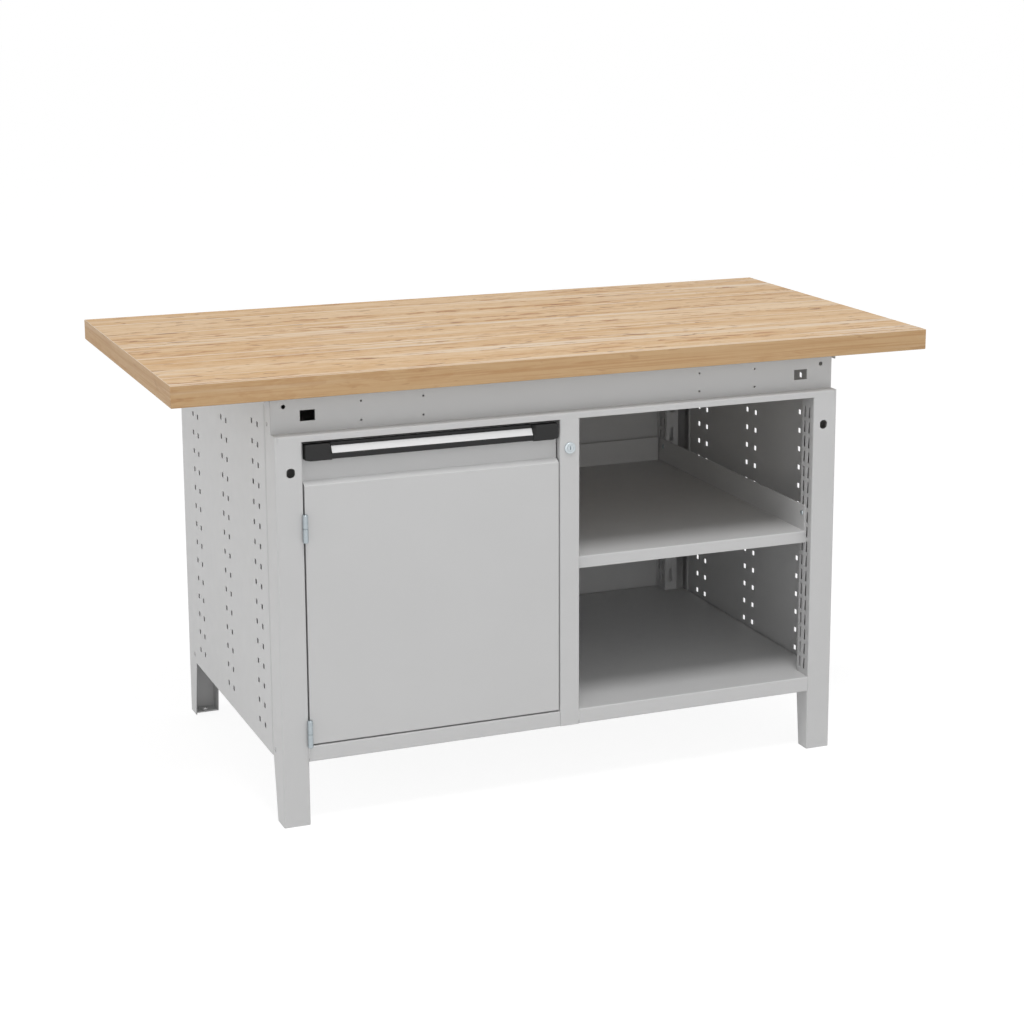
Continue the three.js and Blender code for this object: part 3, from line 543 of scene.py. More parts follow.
# The hinges' zinc: the bright zinc made darker, as painted shade.
SHADED_ZINC_LIGHT = srgb(185, 193, 197)
SHADED_ZINC_DARK = srgb(157, 167, 172)
ZINC_FLOW = 240
ZINC_GLOSS_SPOTS = 90
ZINC_GLOSS = (0.28, 0.42)
ZINC_METAL = 0.9
ZINC_PITS = 1500
ZINC_PIT_STRENGTH = 0.04
FINE_DEPTH = 0.1 * MM


def zinc_plate(name, dark, light):
    made, tree, surface, place = finish_tree(name)
    flow = noise(tree, place, ZINC_FLOW, detail=3)
    coloured(tree, surface, mixed(tree, flow, dark, light))
    roughened(tree, surface, noise(tree, place, ZINC_GLOSS_SPOTS), *ZINC_GLOSS)
    surface.inputs["Metallic"].default_value = ZINC_METAL
    bump(tree, surface, noise(tree, place, ZINC_PITS), ZINC_PIT_STRENGTH, FINE_DEPTH)
    return made


zinc = zinc_plate("bright_zinc", ZINC_DARK, ZINC_LIGHT)
# The hinges get a darker copy of the bright zinc: painted shade.
shaded_zinc = zinc_plate("shaded_zinc", SHADED_ZINC_DARK, SHADED_ZINC_LIGHT)
print("made", zinc.name, "and", shaded_zinc.name)

# %% Black profile of the grip
PROFILE_BLACK = srgb(22, 22, 23)
PROFILE_EDGE = srgb(30, 30, 31)
PROFILE_LINES = (2, 900, 900)
PROFILE_GLOSS = (0.42, 0.55)
PROFILE_SHINE = 0.35
PROFILE_STRENGTH = 0.1


def black_extrusion():
    made, tree, surface, place = finish_tree("black_extrusion")
    lines = noise(tree, stretched(tree, place, PROFILE_LINES), 1, detail=2)
    coloured(tree, surface, mixed(tree, lines, PROFILE_BLACK, PROFILE_EDGE))
    roughened(tree, surface, lines, *PROFILE_GLOSS)
    surface.inputs["Specular IOR Level"].default_value = PROFILE_SHINE
    bump(tree, surface, lines, PROFILE_STRENGTH, FINE_DEPTH)
    return made


black = black_extrusion()
print("made", black.name)

# %% End caps of the grip
CAP_GREY = srgb(36, 36, 36)
CAP_GRAIN = srgb(42, 42, 42)
CAP_GRAIN_SPOTS = 1400
CAP_GLOSS = (0.50, 0.62)
CAP_SHINE = 0.3
CAP_STRENGTH = 0.15


def grained_plastic():
    made, tree, surface, place = finish_tree("grained_plastic")
    grain = noise(tree, place, CAP_GRAIN_SPOTS, detail=2)
    coloured(tree, surface, mixed(tree, grain, CAP_GREY, CAP_GRAIN))
    roughened(tree, surface, grain, *CAP_GLOSS)
    surface.inputs["Specular IOR Level"].default_value = CAP_SHINE
    bump(tree, surface, grain, CAP_STRENGTH, FINE_DEPTH)
    return made


moulded = grained_plastic()
print("made", moulded.name)

# %% Label strip of the grip
STRIP_PALE = srgb(228, 228, 228)
STRIP_SHADE = srgb(218, 218, 219)
STRIP_LINES = (5, 260, 260)
STRIP_GLOSS = (0.30, 0.40)
STRIP_STRENGTH = 0.05


def pale_strip():
    made, tree, surface, place = finish_tree("pale_strip")
    drawn = noise(tree, stretched(tree, place, STRIP_LINES), 1, detail=3)
    coloured(tree, surface, mixed(tree, drawn, STRIP_SHADE, STRIP_PALE))
    roughened(tree, surface, drawn, *STRIP_GLOSS)
    bump(tree, surface, drawn, STRIP_STRENGTH, FINE_DEPTH)
    return made


strip = pale_strip()
print("made", strip.name)

# %% Which finish goes where
finish_of_slot = {
    "laminated_wood": wood,
    "grey_paint": paint,
    "zinc": zinc,
    "black_grip": black,
    "grip_end": moulded,
    "label_strip": strip,
}
slot_of_node = {part["node"]: part["material_slot"] for part in frame["record"]["subparts"]}
print("finishes:", ", ".join(finish_of_slot))

# %% [markdown]
# ## Folded sheets
#
# Most of the bench is sheet steel that was punched flat and then folded. The CAD solid already has each
# fold as a few facets and each slot in its place, so a copy of it is the right start: its loose triangles
# are welded, edges of more than a fold's facet stay sharp, and normals weighted by area make the folds
# look round and keep the flats flat. On plain sheets the flat areas are joined to one face again and the
# cut edge is broken by a small bevel. On punched sheets that would pull at the hole corners, so there the
# bevel is left out.


# %% Helpers for pieces
def new_piece(name, mesh):
    made = bpy.data.objects.new(name, mesh)
    bpy.context.scene.collection.objects.link(made)
    return made


def meshed(name, bm):
    """A new piece from a bmesh, which is then freed."""
    mesh = bpy.data.meshes.new(name)
    bm.to_mesh(mesh)
    bm.free()
    return new_piece(name, mesh)


def outward(name, bm):
    """A new piece from a bmesh, with its faces pointing outwards."""
    bmesh.ops.recalc_face_normals(bm, faces=bm.faces)
    return meshed(name, bm)


def settled(piece):
    """Turns a piece's modifiers into plain mesh."""
    evaluated = piece.evaluated_get(bpy.context.evaluated_depsgraph_get())
    mesh = bpy.data.meshes.new_from_object(evaluated)
    piece.modifiers.clear()
    piece.data = mesh
    mesh.name = piece.name
    return piece


def attach(piece, body, slot, finish=None):
    """A finished piece takes the finish of a slot, or one of its own, and rides on a body."""
    piece.data.materials.clear()
    piece.data.materials.append(finish or finish_of_slot[slot])
    for face in piece.data.polygons:
        face.material_index = 0
    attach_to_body(piece, body)
    return piece


def fit(piece, node, finish=None):
    """A finished piece stands for a CAD node, with its finish and on its body."""
    attach(piece, body_of_node[node], slot_of_node[node], finish)
    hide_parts(node)
    return piece


print("bodies:", ", ".join(bodies))

# %% Helpers for copies of CAD solids
WELD = 0.005 * MM
FLAT_ANGLE = math.radians(0.3)
FOLD_ANGLE = math.radians(42)


def welded_copy(name, node, join_flats=True):
    """The CAD solid of a node as one welded mesh, with each flat area as one face if asked."""
    bm = bmesh.new()
    bm.from_mesh(frame["nodes"][node].data)
    bmesh.ops.remove_doubles(bm, verts=bm.verts, dist=WELD)
    if join_flats:
        bmesh.ops.dissolve_limit(bm, angle_limit=FLAT_ANGLE, verts=bm.verts, edges=bm.edges)
    return meshed(name, bm)


def smoothed(piece):
    """Smooth normals that keep flat faces flat and sharp edges sharp."""
    piece.data.shade_smooth()
    piece.data.set_sharp_from_angle(angle=FOLD_ANGLE)
    piece.modifiers.new("flat_faces", "WEIGHTED_NORMAL").keep_sharp = True
    return settled(piece)


def edged(piece, width, segments=2):
    """Breaks the sharp edges of a piece and gives it smooth normals."""
    bevel = piece.modifiers.new("broken_edges", "BEVEL")
    bevel.width = width
    bevel.segments = segments
    bevel.limit_method = "ANGLE"
    bevel.angle_limit = FOLD_ANGLE
    bevel.miter_outer = "MITER_ARC"
    return smoothed(settled(piece))


print("edges stay sharp from", round(math.degrees(FOLD_ANGLE)), "degrees")

# %% Every painted sheet but the side panels
CUT_EDGE = 0.3 * MM
PUNCHED = ("post_", "upper_rail_", "centre_post_")
SIDE_PANELS = ("side_panel_left", "side_panel_right")


def folded_sheet(node):
    if node.startswith(PUNCHED):
        return fit(smoothed(welded_copy(node + "_sheet", node, join_flats=False)), node)
    return fit(edged(welded_copy(node + "_sheet", node), CUT_EDGE), node)


painted = [node for node, slot in slot_of_node.items() if slot == "grey_paint"]
sheets = [folded_sheet(node) for node in painted if node not in SIDE_PANELS]
print("folded sheets:", len(sheets))

# %% [markdown]
# ## Perforated side panels
#
# Each side panel is one sheet with a joggle along both upright edges, so that it laps behind the posts
# and still lies flush with them. It carries six columns of square holes in three pairs. A row of holes is
# the same punch at one pitch, so it is made that way: the plain sheet is drawn first, and a Geometry
# Nodes tree sets one punch on a column line, that column on a pair line and the pair on a line of pairs,
# and cuts them all out at once. Pitches and counts are inputs of the tree, so another hole pattern is
# only other numbers.

# %% Helpers for bent sheets
BEND_STEPS = 6


def rounded(points, radii):
    """A bent line whose corners become soft bends. A corner with a radius of 0 stays sharp."""
    line = [points[0]]
    for before, corner, after, radius in zip(points, points[1:], points[2:], radii):
        arrive = (corner - before).normalized()
        leave = (after - corner).normalized()
        reach = radius * math.tan(arrive.angle(leave) / 2)
        start = corner - arrive * reach
        end = corner + leave * reach
        shares = [step / BEND_STEPS for step in range(BEND_STEPS + 1)] if radius else [0]
        line += [start.lerp(corner, share).lerp(corner.lerp(end, share), share) for share in shares]
    return line + [points[-1]]


def sheet_along(name, line, thickness, low, high):
    """An upright sheet whose outer face follows a line seen from above, with its thickness on the left."""
    inner = []
    for index, here in enumerate(line):
        along = (line[min(index + 1, len(line) - 1)] - line[max(index - 1, 0)]).normalized()
        inner.append(here + Vector((-along.y, along.x)) * thickness)
    ring = line + inner[::-1]
    bm = bmesh.new()
    lower = [bm.verts.new((*point, low)) for point in ring]
    upper = [bm.verts.new((*point, high)) for point in ring]
    for index in range(len(ring)):
        bm.faces.new((lower[index - 1], lower[index], upper[index], upper[index - 1]))
    for index in range(len(line) - 1):
        strip_corners = (index, index + 1, -index - 2, -index - 1)
        bm.faces.new([lower[corner] for corner in strip_corners])
        bm.faces.new([upper[corner] for corner in strip_corners])
    return outward(name, bm)


print("steps in a bend:", BEND_STEPS)

# %% The plain panels
PANEL_SHEET = 1.5 * MM
PANEL_JOGGLE = 2 * MM
PANEL_LAP = 22 * MM
PANEL_FOLD = 2.5 * MM


def plain_panel(node):
    low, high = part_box(node)
    side = math.copysign(1, low.x)
    outer = max(abs(low.x), abs(high.x))
    bends = [
        (outer - PANEL_JOGGLE, high.y),
        (outer - PANEL_JOGGLE, high.y - PANEL_LAP),
        (outer, high.y - PANEL_LAP - PANEL_JOGGLE),
        (outer, low.y + PANEL_LAP + PANEL_JOGGLE),
        (outer - PANEL_JOGGLE, low.y + PANEL_LAP),
        (outer - PANEL_JOGGLE, low.y),
    ]
    points = [Vector((side * x, -side * y)) for x, y in reversed(bends)]
    line = rounded(points, [PANEL_FOLD] * len(points))
    return sheet_along(node + "_sheet", line, PANEL_SHEET, low.z, high.z)


panels = {node: plain_panel(node) for node in SIDE_PANELS}
print("plain panels:", [len(panel.data.polygons) for panel in panels.values()], "faces")


# %% Helpers for Geometry Nodes trees
def nodes_tree(name, has_geometry, inputs):
    """A Geometry Nodes tree with named inputs. Returns it with its input sockets and its output node."""
    tree = bpy.data.node_groups.new(name, "GeometryNodeTree")
    tree.interface.new_socket("Geometry", in_out="OUTPUT", socket_type="NodeSocketGeometry")
    if has_geometry:
        tree.interface.new_socket("Geometry", in_out="INPUT", socket_type="NodeSocketGeometry")
    for label, kind in inputs.items():
        tree.interface.new_socket(label, in_out="INPUT", socket_type="NodeSocket" + kind)
    return tree, add(tree, "NodeGroupInput").outputs, add(tree, "NodeGroupOutput")


def realized(tree, shape):
    """Real mesh in place of instances."""
    return add(tree, "GeometryNodeRealizeInstances", {"Geometry": shape}).outputs[0]


def ended(tree, output, shape, finish):
    """The end of each tree: real mesh with its finish."""
    dressed = {"Geometry": realized(tree, shape), "Material": finish}
    tree.links.new(add(tree, "GeometryNodeSetMaterial", dressed).outputs[0], output.inputs[0])


def run_tree(piece, tree, values):
    """Sets a tree's inputs by their identifiers, evaluates it once and keeps the plain mesh."""
    modifier = piece.modifiers.new(tree.name, "NODES")
    modifier.node_group = tree
    for item in tree.interface.items_tree:
        if item.in_out == "INPUT" and item.name in values:
            modifier[item.identifier] = values[item.name]
    return settled(piece)


print("helpers ready: trees")


# %% Helpers for rows and cuts in a tree
def along_axis(tree, axis, length):
    return add(tree, "ShaderNodeCombineXYZ", {axis: length}).outputs[0]


def points_on_line(tree, count, first, step):
    values = {"Count": count, "Start Location": first, "Offset": step}
    return add(tree, "GeometryNodeMeshLine", values, mode="OFFSET").outputs[0]


def set_on(tree, points, shape):
    return add(tree, "GeometryNodeInstanceOnPoints", {"Points": points, "Instance": shape}).outputs[0]


def cut_from(tree, shape, tool):
    """A shape with another one cut out of it."""
    cut = add(tree, "GeometryNodeMeshBoolean", operation="DIFFERENCE", solver="EXACT")
    tree.links.new(shape, cut.inputs["Mesh 1"])
    tree.links.new(tool, cut.inputs["Mesh 2"])
    return cut.outputs[0]


print("helpers ready: rows and cuts")

# %% The punch
CORNER_POINTS = 4
PUNCH_INPUTS = {
    "Rows": "Int",
    "Row Pitch": "Float",
    "Columns": "Int",
    "Column Pitch": "Float",
    "Pairs": "Int",
    "Pair Pitch": "Float",
    "First Hole": "Vector",
    "Hole Size": "Float",
    "Corner Radius": "Float",
    "Depth": "Float",
    "Finish": "Material",
}


def punch_shape(tree, sizes):
    """A square bar with rounded corners that goes through the sheet along x."""
    square = {"Width": sizes["Hole Size"], "Height": sizes["Hole Size"]}
    outline = add(tree, "GeometryNodeCurvePrimitiveQuadrilateral", square).outputs[0]
    corners = {"Curve": outline, "Radius": sizes["Corner Radius"], "Count": CORNER_POINTS}
    corners |= {"Limit Radius": True}
    outline = add(tree, "GeometryNodeFilletCurve", corners, mode="POLY").outputs[0]
    start = along_axis(tree, "X", maths(tree, "MULTIPLY", sizes["Depth"], -1))
    end = along_axis(tree, "X", sizes["Depth"])
    stroke = add(tree, "GeometryNodeCurvePrimitiveLine", {"Start": start, "End": end}).outputs[0]
    swept = {"Curve": stroke, "Profile Curve": outline, "Fill Caps": True}
    return add(tree, "GeometryNodeCurveToMesh", swept).outputs[0]


def square_punch():
    tree, sizes, output = nodes_tree("square_punch", True, PUNCH_INPUTS)
    row_step = along_axis(tree, "Z", sizes["Row Pitch"])
    column_step = along_axis(tree, "Y", sizes["Column Pitch"])
    pair_step = along_axis(tree, "Y", sizes["Pair Pitch"])
    rows = points_on_line(tree, sizes["Rows"], sizes["First Hole"], row_step)
    columns = points_on_line(tree, sizes["Columns"], (0, 0, 0), column_step)
    pairs = points_on_line(tree, sizes["Pairs"], (0, 0, 0), pair_step)
    punches = set_on(tree, rows, punch_shape(tree, sizes))
    punches = realized(tree, set_on(tree, pairs, set_on(tree, columns, punches)))
    ended(tree, output, cut_from(tree, sizes["Geometry"], punches), sizes["Finish"])
    return tree


punch_tree = square_punch()
print("punch tree nodes:", len(punch_tree.nodes))

# %% Punch both panels
HOLE_SIZE = 10 * MM
HOLE_CORNER = 1.5 * MM
HOLE_PITCH = 38 * MM
HOLE_ROWS = 16
HOLE_COLUMNS = 2
HOLE_PAIRS = 3
PAIR_PITCH = 228 * MM
FIRST_ROW_UP = 42 * MM
PUNCH_REACH = 4 * PANEL_SHEET

for node, panel in panels.items():
    low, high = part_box(node)
    middle_x = (low.x + high.x) / 2
    first_column = -(PAIR_PITCH * (HOLE_PAIRS - 1) + HOLE_PITCH) / 2
    pattern = {
        "Rows": HOLE_ROWS,
        "Row Pitch": HOLE_PITCH,
        "Columns": HOLE_COLUMNS,
        "Column Pitch": HOLE_PITCH,
        "Pairs": HOLE_PAIRS,
        "Pair Pitch": PAIR_PITCH,
        "First Hole": (middle_x, first_column, low.z + FIRST_ROW_UP),
        "Hole Size": HOLE_SIZE,
        "Corner Radius": HOLE_CORNER,
        "Depth": PUNCH_REACH,
        "Finish": paint,
    }
    fit(smoothed(run_tree(panel, punch_tree, pattern)), node)
    print(panel.name, len(panel.data.polygons), "faces")

# %% [markdown]
# ## Worktop
#
# The slab is planed and its edges are eased by a few strokes of a plane, which is what catches the light
# along the front. The CAD solid has that easing, so a welded copy with weighted normals gives the line of
# light, and the wood itself is all in the material, which also paints a highlight along the arris.

# %% Worktop
top = fit(smoothed(welded_copy("worktop_slab", "worktop")), "worktop")
print(top.name, len(top.data.polygons), "faces")

# %% [markdown]
# ## Turned hardware
#
# Lock, hinge barrels, pins and bolts come off a lathe, so each is a profile of radius and length swept
# round an axis. The CAD solids have few facets, and these are made again round the same axes with 48,
# with rounded rims, a key slot in the plug and a hexagon socket in each bolt. A boolean cuts the slots,
# as a mill does. Each point of a profile is a radius, a way along the axis and the radius of the rim
# there, in millimetres.

# %% Helpers for turned pieces
ROUND_SEGMENTS = 48


def profile_of(*points):
    """A turned profile in millimetres, from points of radius, way along the axis and rim radius."""
    places = [Vector((radius, along)) * MM for radius, along, rim in points]
    return rounded(places, [rim * MM for radius, along, rim in points[1:-1]])


def turned(name, profile, centre, axis, ring=False, segments=ROUND_SEGMENTS):
    """A turned piece from a profile. A ring closes its profile on itself."""
    axis = Vector(axis)
    side = axis.orthogonal().normalized()
    up = axis.cross(side)
    spokes = [step * math.tau / segments for step in range(segments)]
    rays = [side * math.cos(angle) + up * math.sin(angle) for angle in spokes]
    bm = bmesh.new()
    hoops = []
    for radius, along in profile:
        middle = Vector(centre) + axis * along
        hoops.append([bm.verts.new(middle + ray * radius) for ray in (rays if radius else rays[:1])])
    pairs = list(zip(hoops, hoops[1:]))
    if ring:
        pairs.append((hoops[-1], hoops[0]))
    for first, second in pairs:
        for step in range(segments):
            around = ((first, step), (first, step + 1), (second, step + 1), (second, step))
            corners = [hoop[place % len(hoop)] for hoop, place in around]
            bm.faces.new(list(dict.fromkeys(corners)))
    return outward(name, bm)


print("round segments:", ROUND_SEGMENTS)


# %% Helpers for blocks and cuts
def block(name, low, high):
    bm = bmesh.new()
    bmesh.ops.create_cube(bm, size=1)
    low, high = Vector(low), Vector(high)
    size = Matrix.Diagonal((*(high - low), 1))
    bmesh.ops.transform(bm, matrix=Matrix.Translation((low + high) / 2) @ size, verts=bm.verts)
    return outward(name, bm)


def combined(piece, other, operation):
    """Joins or cuts a piece by another, which is then dropped."""
    modifier = piece.modifiers.new(operation.lower(), "BOOLEAN")
    modifier.object = other
    modifier.operation = operation
    modifier.solver = "EXACT"
    settled(piece)
    bpy.data.objects.remove(other)
    return piece


print("helpers ready: blocks and cuts")

# %% [markdown]
# The lock is a cylinder lock in the centre post. Its body has a rounded head on the front and a nut
# behind the sheet. The plug turns in it, and carries the cam that swings behind the door's edge. The body
# stays with the frame and the plug, the cam and its nut turn. Both are turned round the axis of the
# lock's joint.

# %% The lock
RIM = 0.3 * MM
LOCK_WAY = (0, 1, 0)
LOCK_HEAD = ((6.3, -3, 0), (8.2, -3, 0.6), (11, -2.4, 1.4), (11, 0, 0.2))
LOCK_BARREL = ((8.5, 0, 0), (8.5, 16, 0.5), (6.3, 16, 0))
LOCK_PLUG = ((0, -3.4, 0), (6, -3.4, 0.4), (6, 16.3, 0.2), (4, 16.3, 0), (4, 23.8, 0.5), (0, 23.8, 0))
KEY_SLOT = Vector((1.8, 0, 7)) * MM
KEY_SLOT_START = Vector((0, -4, 0)) * MM
KEY_SLOT_DEPTH = Vector((0, 4, 0)) * MM

joint_place = {joint["name"]: joint["pos_m"] for joint in frame["joints"]}
lock_centre = Vector(joint_place["lock_turn"])
body_profile = profile_of(*LOCK_HEAD, *LOCK_BARREL)
lock_body = turned("lock_body_barrel", body_profile, lock_centre, LOCK_WAY, ring=True)
fit(smoothed(lock_body), "lock_body")

lock_plug = turned("lock_plug_core", profile_of(*LOCK_PLUG), lock_centre, LOCK_WAY)
key_front = lock_centre + KEY_SLOT_START
key_cut = block("key_cut", key_front - KEY_SLOT / 2, key_front + KEY_SLOT / 2 + KEY_SLOT_DEPTH)
fit(smoothed(combined(lock_plug, key_cut, "DIFFERENCE")), "lock_plug")
for node in ("lock_nut", "lock_cam", "lock_cam_nut"):
    fit(edged(welded_copy(node + "_plated", node), RIM), node)
print("lock made round", lock_centre.to_tuple(3))

# %% [markdown]
# Two lift-off hinges carry the door. Each has a frame knuckle below and a door knuckle above, round a
# loose pin, and a flat leaf on each knuckle goes into the gap beside the door. The barrel is turned with
# a domed end, and a boolean joins the leaf to its wall.

# %% Hinge knuckles
BARREL = 5 * MM
LEAF_ROOT = 4.2 * MM
KNUCKLE = ((0, 20.3, 0), (3.3, 20.3, 0), (3.3, 0, 0), (5, 0, 0.9), (5, 26, 2.2), (0, 26, 0))
hinge_x, hinge_y = joint_place["door_hinge"][:2]


def knuckle(node):
    """A hinge knuckle. Its open face is up on the frame's and down on the door's."""
    low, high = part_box(node)
    is_door = "door" in node
    face = Vector((hinge_x, hinge_y, low.z if is_door else high.z))
    barrel = turned(node + "_barrel", profile_of(*KNUCKLE), face, (0, 0, 1 if is_door else -1))
    corners = [vertex.co for vertex in frame["nodes"][node].data.vertices]
    leaf_corners = [corner for corner in corners if corner.y > hinge_y + BARREL + RIM]
    leaf_low = [min(corner[axis] for corner in leaf_corners) for axis in range(3)]
    leaf_high = [max(corner[axis] for corner in leaf_corners) for axis in range(3)]
    leaf_low[1] = hinge_y + LEAF_ROOT
    leaf = block(node + "_leaf", leaf_low, leaf_high)
    return fit(smoothed(combined(barrel, leaf, "UNION")), node, shaded_zinc)


print("hinge axis at x, y:", round(hinge_x, 4), round(hinge_y, 4))

# %% Hinges with their pins, and the door stops
PIN_RADIUS = 3
PIN_RIM = 0.5

for level in ("lower", "upper"):
    for side in ("frame", "door"):
        knuckle(f"hinge_{level}_{side}_knuckle")
    pin_node = f"hinge_{level}_pin"
    low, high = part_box(pin_node)
    length = (high.z - low.z) / MM
    pin = profile_of((0, 0, 0), (PIN_RADIUS, 0, PIN_RIM), (PIN_RADIUS, length, PIN_RIM), (0, length, 0))
    rod = turned(pin_node + "_rod", pin, (hinge_x, hinge_y, low.z), (0, 0, 1))
    fit(smoothed(rod), pin_node, shaded_zinc)
    stop_node = f"door_stop_{level}"
    fit(edged(welded_copy(stop_node + "_angle", stop_node), RIM), stop_node)
    print(pin_node, round(length), "mm long")

# %% [markdown]
# Each tray shelf hangs on four bolts, through the upstand into a slot of the post. The head is a low dome
# with a hexagon socket, and it sits inside the tray. Bolt and socket are both turned, the socket with six
# sides.

# %% Tray bolts
HEAD_HEIGHT = 2.5
SOCKET_RADIUS = 1.75
SOCKET_FLOOR = 1.6 - HEAD_HEIGHT
SOCKET_SIDES = 6
BOLT = ((0, -2.5, 0), (3.4, -2.5, 1), (5, -1.2, 0.6), (5, 0, 0.1), (2.3, 0, 0), (2.3, 14, 0.4), (0, 14, 0))
SOCKET = ((0, -3, 0), (SOCKET_RADIUS, -3, 0), (SOCKET_RADIUS, SOCKET_FLOOR, 0), (0, SOCKET_FLOOR, 0))

bolt_nodes = [node for node in slot_of_node if "_bolt_" in node]
for node in bolt_nodes:
    low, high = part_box(node)
    way = 1 if node.endswith("right") else -1
    seat = (low if way > 0 else high).x + way * HEAD_HEIGHT * MM
    centre = Vector((seat, (low.y + high.y) / 2, (low.z + high.z) / 2))
    bolt = turned(node + "_screw", profile_of(*BOLT), centre, (way, 0, 0))
    socket = turned(node + "_socket", profile_of(*SOCKET), centre, (way, 0, 0), segments=SOCKET_SIDES)
    fit(smoothed(combined(bolt, socket, "DIFFERENCE")), node)
print("tray bolts:", len(bolt_nodes))

# %% [markdown]
# ## Grip of the door
#
# The grip is a black extruded profile across the door's set-back band, closed by a moulded cap at each
# end, with a pale blank strip slid into its slanted front. The profile and the strip are the CAD's with
# rounded rims, which gives the fine light lines along the grip. A cap is upright in front and only falls
# back to the profile's slope in its last stretch beside the strip, and its lower outer corner is cut
# away. Four outlines along its length, joined by faces, make that shape.

# %% Grip
GRIP_RIMS = {"grip_profile": 0.6 * MM, "label_strip": 0.25 * MM}
RIM_STEPS = 3
CAP_RIM = 1.2 * MM
CAP_LAND = 6.2 * MM
CAP_SLOPE_BACK = 8 * MM
CAP_SLOPE_DROP = 6.5 * MM
CAP_NOSE = 11.2 * MM
CAP_UNDER = 2.5 * MM
CAP_DRAFT = 6 * MM
CAP_CUT_LONG = 10 * MM
CAP_CUT_HIGH = 2.2 * MM


def cap_outline(low, high, is_upright, lift):
    """The outline of a cap as (y, z) points, upright in front or sloped like the profile."""
    bottom = low.z + lift
    return [
        (high.y, high.z),
        (low.y if is_upright else high.y - CAP_LAND, high.z),
        (low.y if is_upright else high.y - CAP_SLOPE_BACK, high.z - CAP_SLOPE_DROP),
        (low.y, low.z + CAP_NOSE),
        (low.y, bottom + CAP_UNDER),
        (low.y + CAP_UNDER, bottom),
        (high.y, bottom),
    ]


def end_cap(node):
    low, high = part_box(node)
    outer, inner = (low.x, high.x) if node.endswith("left") else (high.x, low.x)
    inward = math.copysign(1, inner - outer)
    stations = [
        (outer, cap_outline(low, high, True, CAP_CUT_HIGH)),
        (outer + inward * CAP_CUT_LONG, cap_outline(low, high, True, 0)),
        (inner - inward * CAP_DRAFT, cap_outline(low, high, True, 0)),
        (inner, cap_outline(low, high, False, 0)),
    ]
    bm = bmesh.new()
    rings = [[bm.verts.new((x, y, z)) for y, z in outline] for x, outline in stations]
    for first, second in zip(rings, rings[1:]):
        for index in range(len(first)):
            bm.faces.new((first[index - 1], first[index], second[index], second[index - 1]))
    bm.faces.new(rings[0])
    bm.faces.new(rings[-1])
    return fit(edged(outward(node + "_part", bm), CAP_RIM, RIM_STEPS), node)


for node, rim in GRIP_RIMS.items():
    fit(edged(welded_copy(node + "_part", node), rim, RIM_STEPS), node)
caps = [end_cap(node) for node in ("grip_end_left", "grip_end_right")]
print("grip pieces:", len(GRIP_RIMS) + len(caps))

# %% [markdown]
# ## Screws, nuts, rivets and spot welds
#
# Small round things that sit in regular places are one Geometry Nodes tree: a head with a socket or a
# bore, set on a row of points, and that row on a line of rows. Each kind of fastener below is the same
# tree with other sizes.

# %% A tree for round fasteners
FASTENER_INPUTS = {
    "Columns": "Int",
    "Column Step": "Vector",
    "Rows": "Int",
    "Row Step": "Vector",
    "First": "Vector",
    "Turn": "Vector",
    "Head Sides": "Int",
    "Head Radius": "Float",
    "Head Height": "Float",
    "Socket Sides": "Int",
    "Socket Radius": "Float",
    "Socket Depth": "Float",
    "Finish": "Material",
}


def cylinder(tree, sides, radius, depth):
    sizes = {"Vertices": sides, "Radius": radius, "Depth": depth}
    return add(tree, "GeometryNodeMeshCylinder", sizes).outputs[0]


def fastener_rows():
    tree, sizes, output = nodes_tree("fastener_rows", False, FASTENER_INPUTS)
    head = cylinder(tree, sizes["Head Sides"], sizes["Head Radius"], sizes["Head Height"])
    both_ways = maths(tree, "MULTIPLY", sizes["Socket Depth"], 2)
    socket = cylinder(tree, sizes["Socket Sides"], sizes["Socket Radius"], both_ways)
    to_face = along_axis(tree, "Z", maths(tree, "MULTIPLY", sizes["Head Height"], 0.5))
    socket = add(tree, "GeometryNodeTransform", {"Geometry": socket, "Translation": to_face}).outputs[0]
    aimed = {"Geometry": cut_from(tree, head, socket), "Rotation": sizes["Turn"]}
    shape = add(tree, "GeometryNodeTransform", aimed).outputs[0]
    columns = points_on_line(tree, sizes["Columns"], sizes["First"], sizes["Column Step"])
    rows = points_on_line(tree, sizes["Rows"], (0, 0, 0), sizes["Row Step"])
    ended(tree, output, set_on(tree, rows, set_on(tree, columns, shape)), sizes["Finish"])
    return tree


fastener_tree = fastener_rows()


def fasteners(name, shape, slot, turn, first, columns, rows, rim=RIM):
    """A block of fasteners. Columns and rows are each a count and a step."""
    places = {"Turn": turn, "First": first, "Finish": finish_of_slot[slot]}
    places |= {"Columns": columns[0], "Column Step": columns[1], "Rows": rows[0], "Row Step": rows[1]}
    piece = run_tree(new_piece(name, bpy.data.meshes.new(name)), fastener_tree, shape | places)
    print(name, columns[0] * rows[0])
    return attach(edged(piece, rim), "frame", slot)


print("fastener tree nodes:", len(fastener_tree.nodes))

# %% [markdown]
# The worktop is screwed on from below, through the flanges of the rails and of the two supports. Only the
# heads show, from low down, so a head with a hexagon socket is enough.

# %% Screws under the worktop
TOP_SCREW = {"Head Sides": 32, "Head Radius": 5.5 * MM, "Head Height": 3 * MM}
TOP_SCREW |= {"Socket Sides": 6, "Socket Radius": 2.3 * MM, "Socket Depth": 1.8 * MM}
FACE_DOWN = (math.pi, 0, 0)
FLANGE = 2 * MM
RAIL_SCREWS = 4
RAIL_SCREW_STEP = 300 * MM
RAIL_SCREW_IN = 12 * MM
SUPPORT_SCREW_Y = 200 * MM

